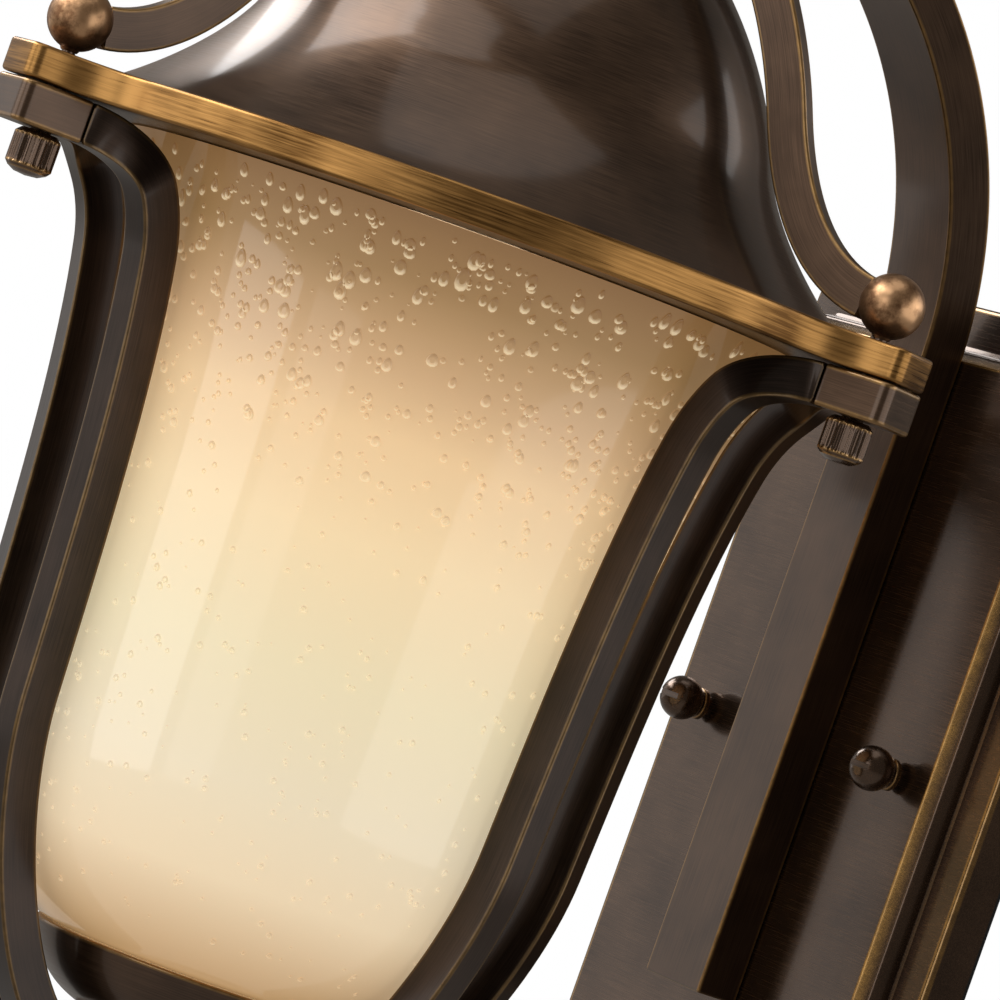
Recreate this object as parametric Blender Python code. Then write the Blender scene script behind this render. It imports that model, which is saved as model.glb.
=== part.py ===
"""Outdoor wall lantern with three scrolls, a bell of seeded glass and a strap cage.

The wall is the plane Y = 0 and the lantern stands out towards -Y. The origin is the
middle of the wall bracket's back face, level with the two ball cap nuts. Sizes are in
millimetres; MM turns them to metres where a mesh is made.
"""

import math

import bmesh
import bpy
from mathutils import Matrix, Vector

MM = 0.001
GAP = 0.3
ROUND = 36
MEDIUM_ROUND = 24
SMALL_ROUND = 16

# Lantern axis and the three lugs: the first points straight out from the wall.
REACH = 152.5
LUG_ANGLES = (-90.0, 30.0, 150.0)
SCREW_RADIUS = 110.0

# Wall plate, a hollow pan with a raised panel, and what is in it.
PANEL_HALF_WIDTH = 58.0
PANEL_HALF_HEIGHT = 98.0
PLATE_BORDER = 14.5
PLATE_DEPTH = 20.4
PLATE_WALL = 2.0
PLATE_CORNER = 2.5
GASKET_THICKNESS = 1.2
CAP_NUT_SPACING = 88.9
CAP_NUT_RADIUS = 5.4
CAP_NUT_OUT = 27.8
SLOT_WIDTH = 1.4
BAR_THICKNESS = 2.6

# Arm, a flat bar bent the easy way into an arch.
ARM_HALF_WIDTH = 12.5
ARM_THICKNESS = 11.1
ARM_BOTTOM = -64.0
ARM_SPRING = 95.0
ARM_RADIUS = 111.0
ARM_SCREW_HEIGHT = 35.0

# Flange, the brass-edged plate under the roof.
FLANGE_TOP = 90.1
FLANGE_THICKNESS = 7.8
FLANGE_RADIUS = 102.0
FLANGE_BORE = 70.0
EAR_END = 121.4
EAR_HALF_WIDTH = 8.0
EAR_CORNER = 3.0
EAR_FILLET = 17.0

# Cage: lugs, straps, hub, dish and glass.
LUG_IN = 103.8
LUG_OUT = 121.0
LUG_HALF_WIDTH = 8.5
LUG_TOP = 81.9
LUG_BOTTOM = 72.2
STRAP_WIDTH = 8.4
STRAP_DEPTH = 9.5
STRAP_ANGLE = 9.3
STRAP_START_ANGLE = 2.4
SPLAY_END = 88.0
HUB_RADIUS = 27.5
HUB_TOP = -112.3
HUB_BOTTOM = -127.0
DISH_WALL = 2.0
GLASS_WALL = 3.0
GASKET_HEIGHT = 2.6
GASKET_WIDTH = 3.2
GLASS_TOP = 81.9
GLASS_BOTTOM = -94.1

# Fasteners.
STUD_RADIUS = 2.5
STUD_HOLE = 2.8
BALL_RADIUS = 7.4
BALL_CENTRE = 98.5
NUT_RADIUS = 5.4
NUT_TOP = 71.9
NUT_HEIGHT = 10.2
STEM_RADIUS = 4.75
STEM_BORE = 3.0
STEM_HOLE = 5.1
STEM_TOP = 212.0
STEM_FOOT = 125.0

# Roof top, crown and lamp.
ROOF_WALL = 2.0
ROOF_TOP = 175.8
SCROLL_WIDTH = 4.4
SCROLL_DEPTH = 9.8
CROWN_RADIUS = 14.0
CROWN_BOTTOM = 176.1
SOCKET_RADIUS = 19.0
SOCKET_BORE = 13.9
SOCKET_MOUTH = 86.0
SOCKET_FLOOR = 112.0
SOCKET_TOP = 138.0
BULB_CENTRE = 28.0
BULB_RADIUS = 30.0
BULB_BASE_RADIUS = 13.1
BULB_BASE_BOTTOM = 82.0
BULB_BASE_TOP = 108.5


# ---------------------------------------------------------------- materials

FINISHES = {
    "bronze": ((0.060, 0.042, 0.030), 0.42, 0.85),
    "brass_edge": ((0.300, 0.180, 0.060), 0.35, 0.95),
    "copper_ball": ((0.270, 0.150, 0.080), 0.38, 0.95),
    "amber_glass": ((0.850, 0.660, 0.380), 0.25, 0.0),
    "rubber": ((0.030, 0.030, 0.032), 0.85, 0.0),
    "zinc": ((0.520, 0.530, 0.540), 0.38, 0.9),
    "green_screw": ((0.050, 0.280, 0.090), 0.45, 0.7),
    "porcelain": ((0.830, 0.820, 0.780), 0.22, 0.0),
    "bulb_glass": ((0.950, 0.930, 0.880), 0.18, 0.0),
    "brass": ((0.620, 0.430, 0.160), 0.3, 1.0),
}


def finish(name):
    """The Principled material of one finish, made once."""
    material = bpy.data.materials.get(name)
    if material:
        return material
    colour, roughness, metallic = FINISHES[name]
    material = bpy.data.materials.new(name)
    material.use_nodes = True
    shader = material.node_tree.nodes["Principled BSDF"]
    shader.inputs["Base Color"].default_value = (*colour, 1.0)
    shader.inputs["Roughness"].default_value = roughness
    shader.inputs["Metallic"].default_value = metallic
    return material


# ------------------------------------------------------------ mesh helpers


def add_object(name, bm, material, location=(0.0, 0.0, 0.0), turn=None):
    """Closes a bmesh drawn in millimetres into a named object in metres."""
    bmesh.ops.remove_doubles(bm, verts=bm.verts, dist=1e-3)
    bmesh.ops.recalc_face_normals(bm, faces=bm.faces)
    bmesh.ops.scale(bm, verts=bm.verts, vec=(MM, MM, MM))
    mesh = bpy.data.meshes.new(name)
    bm.to_mesh(mesh)
    bm.free()
    mesh.materials.append(finish(material))
    mesh.shade_smooth()
    mesh.set_sharp_from_angle(angle=math.radians(32))
    thing = bpy.data.objects.new(name, mesh)
    thing.matrix_world = Matrix.Translation(Vector(location) * MM) @ (turn or Matrix())
    bpy.context.scene.collection.objects.link(thing)
    return thing


def turned(outline, segments):
    """A solid of revolution about Z from (radius, height) points.

    An outline that starts and ends on the axis is solid; any other is closed to a ring.
    """
    bm = bmesh.new()
    verts = [bm.verts.new((radius, 0.0, height)) for radius, height in outline]
    edges = [bm.edges.new(pair) for pair in zip(verts, verts[1:])]
    if outline[0][0] > 0.0 or outline[-1][0] > 0.0:
        edges.append(bm.edges.new((verts[-1], verts[0])))
    bmesh.ops.spin(
        bm, geom=verts + edges, cent=(0, 0, 0), axis=(0, 0, 1), angle=math.tau, steps=segments,
    )
    return bm


def lathe(name, outline, material, location=(0.0, 0.0, 0.0), segments=ROUND, turn=None):
    return add_object(name, turned(outline, segments), material, location, turn)


def skin(rings, closed=False):
    """A mesh over rings of equal length, capped at both ends or joined end to end."""
    bm = bmesh.new()
    loops = [[bm.verts.new(point) for point in ring] for ring in rings]
    count = len(loops[0])
    pairs = list(zip(loops, loops[1:] + loops[:1])) if closed else list(zip(loops, loops[1:]))
    for low, high in pairs:
        for i in range(count):
            j = (i + 1) % count
            bm.faces.new((low[i], low[j], high[j], high[i]))
    if not closed:
        bm.faces.new(loops[0])
        bm.faces.new(loops[-1])
    return bm


def bar(name, stations, material):
    """A rectangular bar through (centre, half width, half depth) stations."""
    rings = [
        (c - w - d, c + w - d, c + w + d, c - w + d)
        for c, w, d in stations
    ]
    return add_object(name, skin(rings), material)


def block(low, high):
    """A box between two corners."""
    bm = bmesh.new()
    size = Vector(high) - Vector(low)
    middle = (Vector(high) + Vector(low)) / 2
    bmesh.ops.create_cube(bm, size=1.0, matrix=Matrix.Translation(middle) @ Matrix.Diagonal((*size, 1.0)))
    return bm


def cut(target, bm):
    """Takes a shape away from a piece and keeps the cutter as a hidden wire object."""
    number = len(target.modifiers) + 1
    cutter = add_object(f"{target.name}_cutter_{number}", bm, "rubber")
    cutter.hide_render = True
    cutter.display_type = "WIRE"
    modifier = target.modifiers.new(f"cut_{number}", "BOOLEAN")
    modifier.operation = "DIFFERENCE"
    modifier.object = cutter


def drill(target, radius, start, end):
    """Cuts a round hole from one point to another."""
    start, end = Vector(start), Vector(end)
    length = (end - start).length
    bm = turned([(0, 0), (radius, 0), (radius, length), (0, length)], SMALL_ROUND)
    turn = (end - start).to_track_quat("Z", "Y").to_matrix().to_4x4()
    bmesh.ops.transform(bm, matrix=Matrix.Translation(start) @ turn, verts=bm.verts)
    cut(target, bm)


# ------------------------------------------------------------------ curves


def bezier(p0, p1, p2, p3, steps):
    """Points along a cubic curve, both ends included."""
    points = []
    for i in range(steps + 1):
        t = i / steps
        s = 1.0 - t
        weights = (s**3, 3 * s * s * t, 3 * s * t * t, t**3)
        points.append(tuple(sum(w * p[k] for w, p in zip(weights, (p0, p1, p2, p3))) for k in (0, 1)))
    return points


def arc(cx, cy, radius, start, end, steps):
    """Points on a circle from one angle to another, in degrees."""
    angles = [math.radians(start + (end - start) * i / steps) for i in range(steps + 1)]
    return [(cx + radius * math.cos(a), cy + radius * math.sin(a)) for a in angles]


def chain(*pieces):
    """Joins curves that share their end points."""
    points = list(pieces[0])
    for piece in pieces[1:]:
        points += piece[1:]
    return points


def inside(outline, wall):
    """The outline moved inwards by a wall's thickness, square to the curve."""
    moved = []
    last = len(outline) - 1
    for i, point in enumerate(outline):
        before = Vector(outline[max(i - 1, 0)])
        after = Vector(outline[min(i + 1, last)])
        along = (after - before).normalized()
        normal = Vector((along.y, -along.x))
        moved.append(tuple(Vector(point) + normal * wall))
    return moved


def polar(radius, degrees, height=0.0):
    """A point round the lantern's axis, at its place in front of the wall."""
    a = math.radians(degrees)
    return Vector((radius * math.cos(a), radius * math.sin(a) - REACH, height))


def axis_point(height):
    return (0.0, -REACH, height)


# -------------------------------------------------------------- wall plate


def rounded_rectangle(half_width, half_height, corner, y):
    """Points round an upright rectangle with its four corners rounded."""
    points = []
    for sx, sz, start in ((1, 1, 0), (-1, 1, 90), (-1, -1, 180), (1, -1, 270)):
        cx = sx * (half_width - corner)
        cz = sz * (half_height - corner)
        points += [Vector((x, y, z)) for x, z in arc(cx, cz, corner, start, start + 90, 4)]
    return points


def plate_ring(out, depth):
    """A ring round the plate: how far out from the panel's edge, and how far off the wall."""
    corner = PLATE_CORNER + max(out, 0.0) * 0.35
    return rounded_rectangle(PANEL_HALF_WIDTH + out, PANEL_HALF_HEIGHT + out, corner, -depth)


def make_wall_plate():
    back = GASKET_THICKNESS + GAP
    border = PLATE_BORDER
    cove = [(2.0 + 1.5 * math.sin(a), PLATE_DEPTH - 2.4 - 4.6 * (1 - math.cos(a)))
            for a in (0.0, math.pi / 6, math.pi / 3, math.pi / 2)]
    front = [(border, back), (border, 10.6), (border - 0.4, 11.6), (border - 1.4, 12.0), (4.2, 13.0)]
    front += list(reversed(cove)) + [(0.0, PLATE_DEPTH)]
    hollow = [(-1.6, PLATE_DEPTH - PLATE_WALL), (0.9, 14.0), (1.6, 11.2),
              (border - PLATE_WALL, 10.2), (border - PLATE_WALL, back)]
    rings = [plate_ring(out, depth) for out, depth in hollow + front]
    plate = add_object("wall_plate", skin(rings), "bronze")
    for side in (-1, 1):
        x = side * CAP_NUT_SPACING / 2
        drill(plate, STUD_HOLE + 0.2, (x, -PLATE_DEPTH - 3, 0), (x, -PLATE_DEPTH + 6, 0))
        z = side * ARM_SCREW_HEIGHT
        drill(plate, 2.4, (0, -PLATE_DEPTH - 3, z), (0, -PLATE_DEPTH + 6, z))


def make_gasket():
    outer = [plate_ring(PLATE_BORDER - 1.0, depth) for depth in (0.0, GASKET_THICKNESS)]
    inner = [plate_ring(PLATE_BORDER - 7.0, depth) for depth in (GASKET_THICKNESS, 0.0)]
    add_object("wall_gasket", skin(outer + inner, closed=True), "rubber")


def make_crossbar():
    half = 55.0
    strip = add_object("crossbar", block((-half, -BAR_THICKNESS, -9), (half, 0, 9)), "zinc")
    for side in (-1, 1):
        x = side * CAP_NUT_SPACING / 2
        drill(strip, STUD_HOLE, (x, 2, 0), (x, -BAR_THICKNESS - 2, 0))
        cut(strip, block((side * 31 - 7, -BAR_THICKNESS - 2, -2.2), (side * 31 + 7, 2, 2.2)))
    drill(strip, 2.0, (12, 2, 0), (12, -BAR_THICKNESS - 2, 0))


# ------------------------------------------------------- turned on the wall

OUTWARD = Matrix.Rotation(math.radians(90), 4, "X")


def wall_lathe(name, outline, material, x, out, z, segments=SMALL_ROUND):
    """A turned piece whose axis runs straight out from the wall."""
    return lathe(name, outline, material, (x, -out, z), segments, OUTWARD)


def pan_head(radius, height, shank, length):
    """Outline of a pan-head screw: its tip, shank and domed head, head downwards."""
    dome = arc(0, 0, radius, 0, -60, 3)
    dome = [(r, z * height / radius) for r, z in dome]
    return [(0, length), (shank, length), (shank, 0.0)] + dome + [(0, -height)]


def make_wall_fasteners():
    for side, word in ((-1, "left"), (1, "right")):
        x = side * CAP_NUT_SPACING / 2
        rod = [(0, 0), (STUD_RADIUS, 0), (STUD_RADIUS, CAP_NUT_OUT), (0, CAP_NUT_OUT)]
        wall_lathe(f"mounting_stud_{word}", rod, "bronze", x, GAP, 0)
        ball = arc(0, 0, CAP_NUT_RADIUS, -52, 90, 6)
        collar = [(3.9, ball[0][1] - 1.8), (3.9, ball[0][1] - 0.4)]
        bore = [(0, 1.2), (STUD_HOLE, 1.2), (STUD_HOLE, ball[0][1] - 1.8)]
        ball[-1] = (0.0, CAP_NUT_RADIUS)
        nut = wall_lathe(f"cap_nut_{word}", bore + collar + ball, "bronze", x, CAP_NUT_OUT, 0)
        face = CAP_NUT_OUT + CAP_NUT_RADIUS
        cut(nut, block((x - 8, -face - 1, -SLOT_WIDTH / 2), (x + 8, -face + 1.7, SLOT_WIDTH / 2)))
    for side, word in ((-1, "lower"), (1, "upper")):
        z = side * ARM_SCREW_HEIGHT
        seat = PLATE_DEPTH - PLATE_WALL - GAP
        wall_lathe(f"arm_screw_{word}", pan_head(4.0, 2.4, 2.0, 10.0), "zinc", 0, seat, z)
    head = BAR_THICKNESS + GAP
    turn = Matrix.Rotation(math.radians(-90), 4, "X")
    outline = pan_head(3.6, 2.2, 1.7, 2.6)
    lathe("ground_screw", outline, "green_screw", (12, -head, 0), SMALL_ROUND, turn)


# -------------------------------------------------------------------- arm


def make_arm():
    """The arm's middle line: up the plate, round the arch, then level over the lantern."""
    half = ARM_THICKNESS / 2
    wall_side = PLATE_DEPTH + GAP
    middle = wall_side + half
    bend = ARM_RADIUS - half
    centre = wall_side + ARM_RADIUS
    width = Vector((ARM_HALF_WIDTH, 0, 0))
    stations = []
    for inset, rise in ((3.0, 0.0), (0.8, 1.0), (0.0, 3.2)):
        place = Vector((0, -middle, ARM_BOTTOM + rise))
        stations.append((place, width - Vector((inset, 0, 0)), Vector((0, half, 0))))
    steps = 14
    for i in range(steps + 1):
        a = math.pi / 2 * i / steps
        out = Vector((0, math.cos(a), math.sin(a)))
        place = Vector((0, -centre, ARM_SPRING)) + out * bend
        stations.append((place, width, out * half))
    top = ARM_SPRING + bend
    for i in range(8):
        a = math.radians(12.0 * i)
        place = Vector((0, -REACH - ARM_HALF_WIDTH * math.sin(a), top))
        stations.append((place, width * math.cos(a), Vector((0, 0, half))))
    arm = bar("arm", stations, "bronze")
    drill(arm, STEM_HOLE, axis_point(top - half - 3), axis_point(top + half + 3))
    for side in (-1, 1):
        z = side * ARM_SCREW_HEIGHT
        drill(arm, 2.3, (0, -wall_side + 3, z), (0, -wall_side - 8.6, z))


# ------------------------------------------------------------ roof, flange


def roof_outline():
    """Outer side of the bell roof, from its flared foot up to the crown."""
    flare = bezier((89.0, FLANGE_TOP + 0.5), (79.0, 97.5), (66.0, 110.0), (61.7, 121.0), 5)
    centre, radius = (-27.8, 88.2), 95.3
    start = math.degrees(math.atan2(121.0 - centre[1], 61.7 - centre[0]))
    end = math.degrees(math.acos((12.0 - centre[0]) / radius))
    dome = arc(*centre, radius, start, end, 6)
    return flare + dome[1:]


def make_roof():
    outer = roof_outline()
    inner = inside(outer, -ROOF_WALL)
    outline = list(reversed(outer)) + [(outer[0][0] - 2.6, FLANGE_TOP + 0.5)] + inner[1:-1]
    outline += [(12.0, ROOF_TOP - 3.4), (STEM_HOLE, ROOF_TOP - ROOF_WALL), (STEM_HOLE, ROOF_TOP)]
    lathe("roof", outline, "bronze", axis_point(0))


def flange_edge():
    """Plan outline of the flange: a disc with three ears, (radius, angle) pairs."""
    reach = math.sqrt((FLANGE_RADIUS + EAR_FILLET) ** 2 - (EAR_HALF_WIDTH + EAR_FILLET) ** 2)
    meet = math.degrees(math.atan2(EAR_HALF_WIDTH + EAR_FILLET, reach))
    tip = arc(EAR_END - EAR_CORNER, EAR_HALF_WIDTH - EAR_CORNER, EAR_CORNER, 0, 90, 3)
    foot = arc(reach, EAR_HALF_WIDTH + EAR_FILLET, EAR_FILLET, -90, meet - 180, 5)
    upper = tip + foot
    half = [(math.hypot(x, y), math.degrees(math.atan2(y, x))) for x, y in upper]
    steps = 12
    rim = [(FLANGE_RADIUS, meet + (120 - 2 * meet) * i / steps) for i in range(1, steps)]
    ear = [(r, -a) for r, a in reversed(half)] + half
    return [(r, a + lug) for lug in LUG_ANGLES for r, a in ear + rim]


def make_flange():
    edge = flange_edge()
    low, high = FLANGE_TOP - FLANGE_THICKNESS, FLANGE_TOP
    soft = 0.7
    rings = [
        [polar(FLANGE_BORE, a, low) for r, a in edge],
        [polar(r - soft, a, low) for r, a in edge],
        [polar(r, a, low + soft) for r, a in edge],
        [polar(r, a, high - soft) for r, a in edge],
        [polar(r - soft, a, high) for r, a in edge],
        [polar(FLANGE_BORE, a, high) for r, a in edge],
    ]
    flange = add_object("flange", skin(rings, closed=True), "brass_edge")
    for angle in LUG_ANGLES:
        drill(flange, STUD_HOLE, polar(SCREW_RADIUS, angle, low - 4), polar(SCREW_RADIUS, angle, high + 4))
    top = low - GAP
    foot = top - GASKET_HEIGHT
    inner = FLANGE_BORE + 2.6
    outer = inner + GASKET_WIDTH
    ring = [(outer, foot), (outer, top), (inner, top), (inner, foot)]
    lathe("glass_gasket", ring, "rubber", axis_point(0))


# ------------------------------------------------------- scrolls and crown


def radial_bar(name, line, width, depth, angle, material):
    """A bar that follows (radius, height) points in one upright plane through the axis."""
    side = polar(width / 2, angle + 90) - polar(0, 0)
    stations = []
    last = len(line) - 1
    for i, (radius, height) in enumerate(line):
        before = Vector(line[max(i - 1, 0)])
        after = Vector(line[min(i + 1, last)])
        along = (after - before).normalized()
        normal = polar(along.y, angle) - polar(0, 0) - Vector((0, 0, along.x))
        stations.append((polar(radius, angle, height), side, normal * depth / 2))
    return bar(name, stations, material)


def make_scrolls():
    rise = bezier((102.0, 98.6), (87.0, 100.7), (76.1, 116.9), (69.5, 132.5), 6)
    fall = bezier((69.5, 132.5), (59.3, 156.4), (40.2, 181.4), (CROWN_RADIUS + 1.5, 185.0), 7)
    for i, angle in enumerate(LUG_ANGLES, 1):
        radial_bar(f"scroll_{i}", chain(rise, fall), SCROLL_WIDTH, SCROLL_DEPTH, angle, "bronze")
        low = FLANGE_TOP + GAP - BALL_CENTRE
        ball = arc(0, 0, BALL_RADIUS, -62, 90, 6)
        ball[-1] = (0.0, BALL_RADIUS)
        bore = [(0, -0.8), (STUD_HOLE, -0.8), (STUD_HOLE, low)]
        place = polar(SCREW_RADIUS, angle, BALL_CENTRE)
        lathe(f"scroll_ball_{i}", bore + [(3.6, low)] + ball, "copper_ball", place, SMALL_ROUND)
        foot = NUT_TOP - 6.6 - BALL_CENTRE
        rod = [(0, foot), (STUD_RADIUS, foot), (STUD_RADIUS, -1.1), (0, -1.1)]
        lathe(f"lug_stud_{i}", rod, "bronze", place, SMALL_ROUND)


def make_crown():
    r = CROWN_RADIUS
    b = CROWN_BOTTOM
    t = ARM_SPRING + ARM_RADIUS - ARM_THICKNESS - GAP
    outline = [(STEM_HOLE, b), (10.5, b), (r - 0.6, b + 2.2), (r, b + 3.4), (r, t - 3.6),
               (r - 0.8, t - 2.4), (10.5, t), (STEM_HOLE, t)]
    lathe("crown_hub", outline, "bronze", axis_point(0), MEDIUM_ROUND)
    tube = [(STEM_BORE, STEM_FOOT), (STEM_RADIUS, STEM_FOOT),
            (STEM_RADIUS, STEM_TOP), (STEM_BORE, STEM_TOP)]
    lathe("hanger_stem", tube, "zinc", axis_point(0), SMALL_ROUND)
    low, high = 166.4, 172.4
    nut = lathe("stem_nut", [(0, low), (8.4, low), (8.4, high), (0, high)], "zinc", axis_point(0), 6)
    drill(nut, STEM_HOLE, axis_point(low - 2), axis_point(high + 2))
    seat = ARM_SPRING + ARM_RADIUS + GAP
    ball = arc(0, seat + 16.5, 8.6, -58, 90, 6)
    ball[-1] = (0.0, seat + 16.5 + 8.6)
    collar = [(0, STEM_TOP + 1.0), (STEM_HOLE, STEM_TOP + 1.0), (STEM_HOLE, seat), (11.0, seat),
              (11.0, seat + 2.6), (7.6, seat + 4.4), (6.2, seat + 7.4)]
    lathe("top_finial", collar + ball, "bronze", axis_point(0), MEDIUM_ROUND)


# -------------------------------------------------------------------- cage


def make_lugs():
    for i, angle in enumerate(LUG_ANGLES, 1):
        w, soft = LUG_HALF_WIDTH, 2.4
        plan = [(LUG_IN, -w), (LUG_OUT - soft, -w), (LUG_OUT - 0.7, 0.7 - w), (LUG_OUT, soft - w)]
        plan += [(r, -t) for r, t in reversed(plan)]
        side = polar(1, angle + 90) - polar(0, 0)
        rings = [[polar(r, angle, z) + side * t for r, t in plan] for z in (LUG_BOTTOM, LUG_TOP)]
        lug = add_object(f"lug_{i}", skin(rings), "bronze")
        drill(lug, STUD_HOLE, polar(SCREW_RADIUS, angle, 68), polar(SCREW_RADIUS, angle, 86))


def strap_line():
    """Middle line of a strap as (radius, height): over, down the bell and under it."""
    middle = (LUG_TOP + LUG_BOTTOM) / 2
    over = bezier((LUG_IN - GAP, middle), (91.7, middle), (84.5, 65.5), (82.0, 54.0), 6)
    down = bezier((82.0, 54.0), (76.2, 26.6), (74.4, -10.0), (72.6, -45.0), 4)
    under = bezier((72.6, -45.0), (71.3, -73.5), (51.0, -116.0), (HUB_RADIUS + 2.2, -121.0), 6)
    return chain(over, down, under)


def strap_offset(radius):
    """Angle between a strap and its lug's middle: together at the lug, then apart."""
    t = min(max((LUG_IN - GAP - radius) / (LUG_IN - GAP - SPLAY_END), 0.0), 1.0)
    return STRAP_START_ANGLE + (STRAP_ANGLE - STRAP_START_ANGLE) * t * t * (3 - 2 * t)


def make_straps():
    line = strap_line()
    last = len(line) - 1
    for i, angle in enumerate(LUG_ANGLES, 1):
        for side, letter in ((-1, "a"), (1, "b")):
            angles = [angle + side * strap_offset(r) for r, _ in line]
            places = [polar(r, a, z) for (r, z), a in zip(line, angles)]
            stations = []
            for k, place in enumerate(places):
                along = (places[min(k + 1, last)] - places[max(k - 1, 0)]).normalized()
                if k == 0:
                    along = (polar(0, 0) - polar(1, angle)).normalized()
                wide = polar(1, angles[k] + 90) - polar(0, 0)
                deep = wide.cross(along).normalized()
                stations.append((place, wide * STRAP_WIDTH / 2, deep * STRAP_DEPTH / 2))
            bar(f"strap_{i}{letter}", stations, "bronze")


def glass_outline():
    """Outer side of the bell glass, from its lip down to its foot."""
    lip = bezier((81.0, GLASS_TOP), (76.5, 71.0), (73.6, 52.0), (70.4, 30.0), 4)
    belly = bezier((70.4, 30.0), (67.6, 8.0), (67.0, -20.0), (65.2, -46.0), 3)
    shoulder = bezier((65.2, -46.0), (64.0, -68.0), (58.0, -84.0), (40.0, GLASS_BOTTOM), 6)
    return chain(lip, belly, shoulder)


def dish_outline():
    """Outer side of the dish, from its rim to its flat foot."""
    return bezier((40.6, GLASS_BOTTOM - GAP), (37.5, -106.0), (29.0, -111.6), (15.0, -112.0), 5)


def make_glass_and_dish():
    outer = glass_outline()
    inner = inside(outer, GLASS_WALL)
    inner[0] = (outer[0][0] - GLASS_WALL, GLASS_TOP)
    inner[-1] = (outer[-1][0] - GLASS_WALL, GLASS_BOTTOM)
    lathe("glass_shade", outer + list(reversed(inner)), "amber_glass", axis_point(0))
    bowl = dish_outline()
    hollow = inside(bowl, DISH_WALL)
    hollow[0] = (bowl[0][0] - 4.0, bowl[0][1])
    hollow[-1] = (15.0, bowl[-1][1] + DISH_WALL)
    base = [(3.6, bowl[-1][1]), (3.6, bowl[-1][1] + DISH_WALL)]
    lathe("bottom_dish", bowl + base + list(reversed(hollow)), "bronze", axis_point(0))
    nut = [(3.3, -109.7), (6.6, -109.7), (6.6, -105.6), (3.3, -105.6)]
    lathe("dish_nut", nut, "zinc", axis_point(0), SMALL_ROUND)


def make_hub():
    r = HUB_RADIUS
    outline = [(3.6, HUB_BOTTOM), (r - 6, HUB_BOTTOM), (r - 0.8, HUB_BOTTOM + 1.6), (r, HUB_BOTTOM + 2.6),
               (r, HUB_TOP - 2.6), (r - 2.4, HUB_TOP), (3.6, HUB_TOP)]
    lathe("bottom_hub", outline, "bronze", axis_point(0))
    seat = HUB_BOTTOM - GAP
    centre = seat - 14.2
    ball = arc(0, centre, 7.6, 62, -70, 6)
    tip = [(2.2, centre - 8.0), (2.6, centre - 9.4), (1.6, centre - 11.0), (0.0, centre - 11.4)]
    outline = [(0, -106.2), (3.0, -106.2), (3.0, seat), (9.0, seat), (9.0, seat - 2.4), (5.2, seat - 4.2)]
    lathe("bottom_finial", outline + ball + tip, "bronze", axis_point(0), MEDIUM_ROUND)


def make_thumb_nuts():
    """Fluted nut with a domed foot and a blind hole from above."""
    for i, angle in enumerate(LUG_ANGLES, 1):
        r, h = NUT_RADIUS, NUT_HEIGHT
        outline = [(0, -7.4), (STUD_HOLE, -7.4), (STUD_HOLE, 0), (r - 1.3, 0), (r, -1.2), (r, 2.2 - h),
                   (r - 0.9, 1.2 - h), (r - 2.6, 0.3 - h), (0, -h)]
        lathe(f"thumb_nut_{i}", outline, "bronze", polar(SCREW_RADIUS, angle, NUT_TOP), SMALL_ROUND)


# -------------------------------------------------------------------- lamp


def make_lamp():
    r, s = SOCKET_RADIUS, SOCKET_BORE
    outline = [(s, SOCKET_MOUTH), (r - 1.0, SOCKET_MOUTH), (r, SOCKET_MOUTH + 1.0), (r, 118.0),
               (r - 3.0, 122.0), (r - 3.0, SOCKET_TOP - 2), (r - 5.0, SOCKET_TOP),
               (STEM_HOLE, SOCKET_TOP), (STEM_HOLE, SOCKET_FLOOR), (s, SOCKET_FLOOR)]
    lathe("lamp_socket", outline, "porcelain", axis_point(0), MEDIUM_ROUND)
    tab_low, tab_high = SOCKET_FLOOR - 2.6, SOCKET_FLOOR - GAP
    tab = [(3.2, tab_low), (7.2, tab_low), (7.2, tab_high), (3.2, tab_high)]
    lathe("socket_contact", tab, "brass", axis_point(0), SMALL_ROUND)
    b = BULB_BASE_RADIUS
    low, high = BULB_BASE_BOTTOM, BULB_BASE_TOP
    cap = [(0, low), (b, low), (b, high - 6), (b - 4.5, high - 2.4), (4.5, high), (0, high)]
    lathe("bulb_base", cap, "brass", axis_point(0), SMALL_ROUND)
    neck = bezier((12.6, low - GAP), (13.4, 70.0), (20.0, 60.0), (25.6, BULB_CENTRE + 15.6), 4)
    globe = arc(0, BULB_CENTRE, BULB_RADIUS, 31.3, -90, 7)
    globe[-1] = (0.0, BULB_CENTRE - BULB_RADIUS)
    lathe("bulb_glass", [(0, low - GAP)] + neck + globe[1:], "bulb_glass", axis_point(0), MEDIUM_ROUND)


# ------------------------------------------------------------------- build


def main():
    for thing in list(bpy.data.objects):
        bpy.data.objects.remove(thing, do_unlink=True)
    make_wall_plate()
    make_gasket()
    make_crossbar()
    make_wall_fasteners()
    make_arm()
    make_roof()
    make_flange()
    make_scrolls()
    make_crown()
    make_lugs()
    make_straps()
    make_glass_and_dish()
    make_hub()
    make_thumb_nuts()
    make_lamp()
    bpy.context.view_layer.update()


main()
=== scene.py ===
"""Looks of the outdoor wall lantern: fine surfaces, finishes, light and camera round its frame.

Shapes are drawn in millimetres in the frame's own axes: the wall is the plane Y = 0, the
lantern stands out towards -Y and Z is up. MM turns them to metres where a mesh is made.
"""

import itertools
import math

import bpy
import numpy as np
from mathutils import Matrix, Vector


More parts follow.
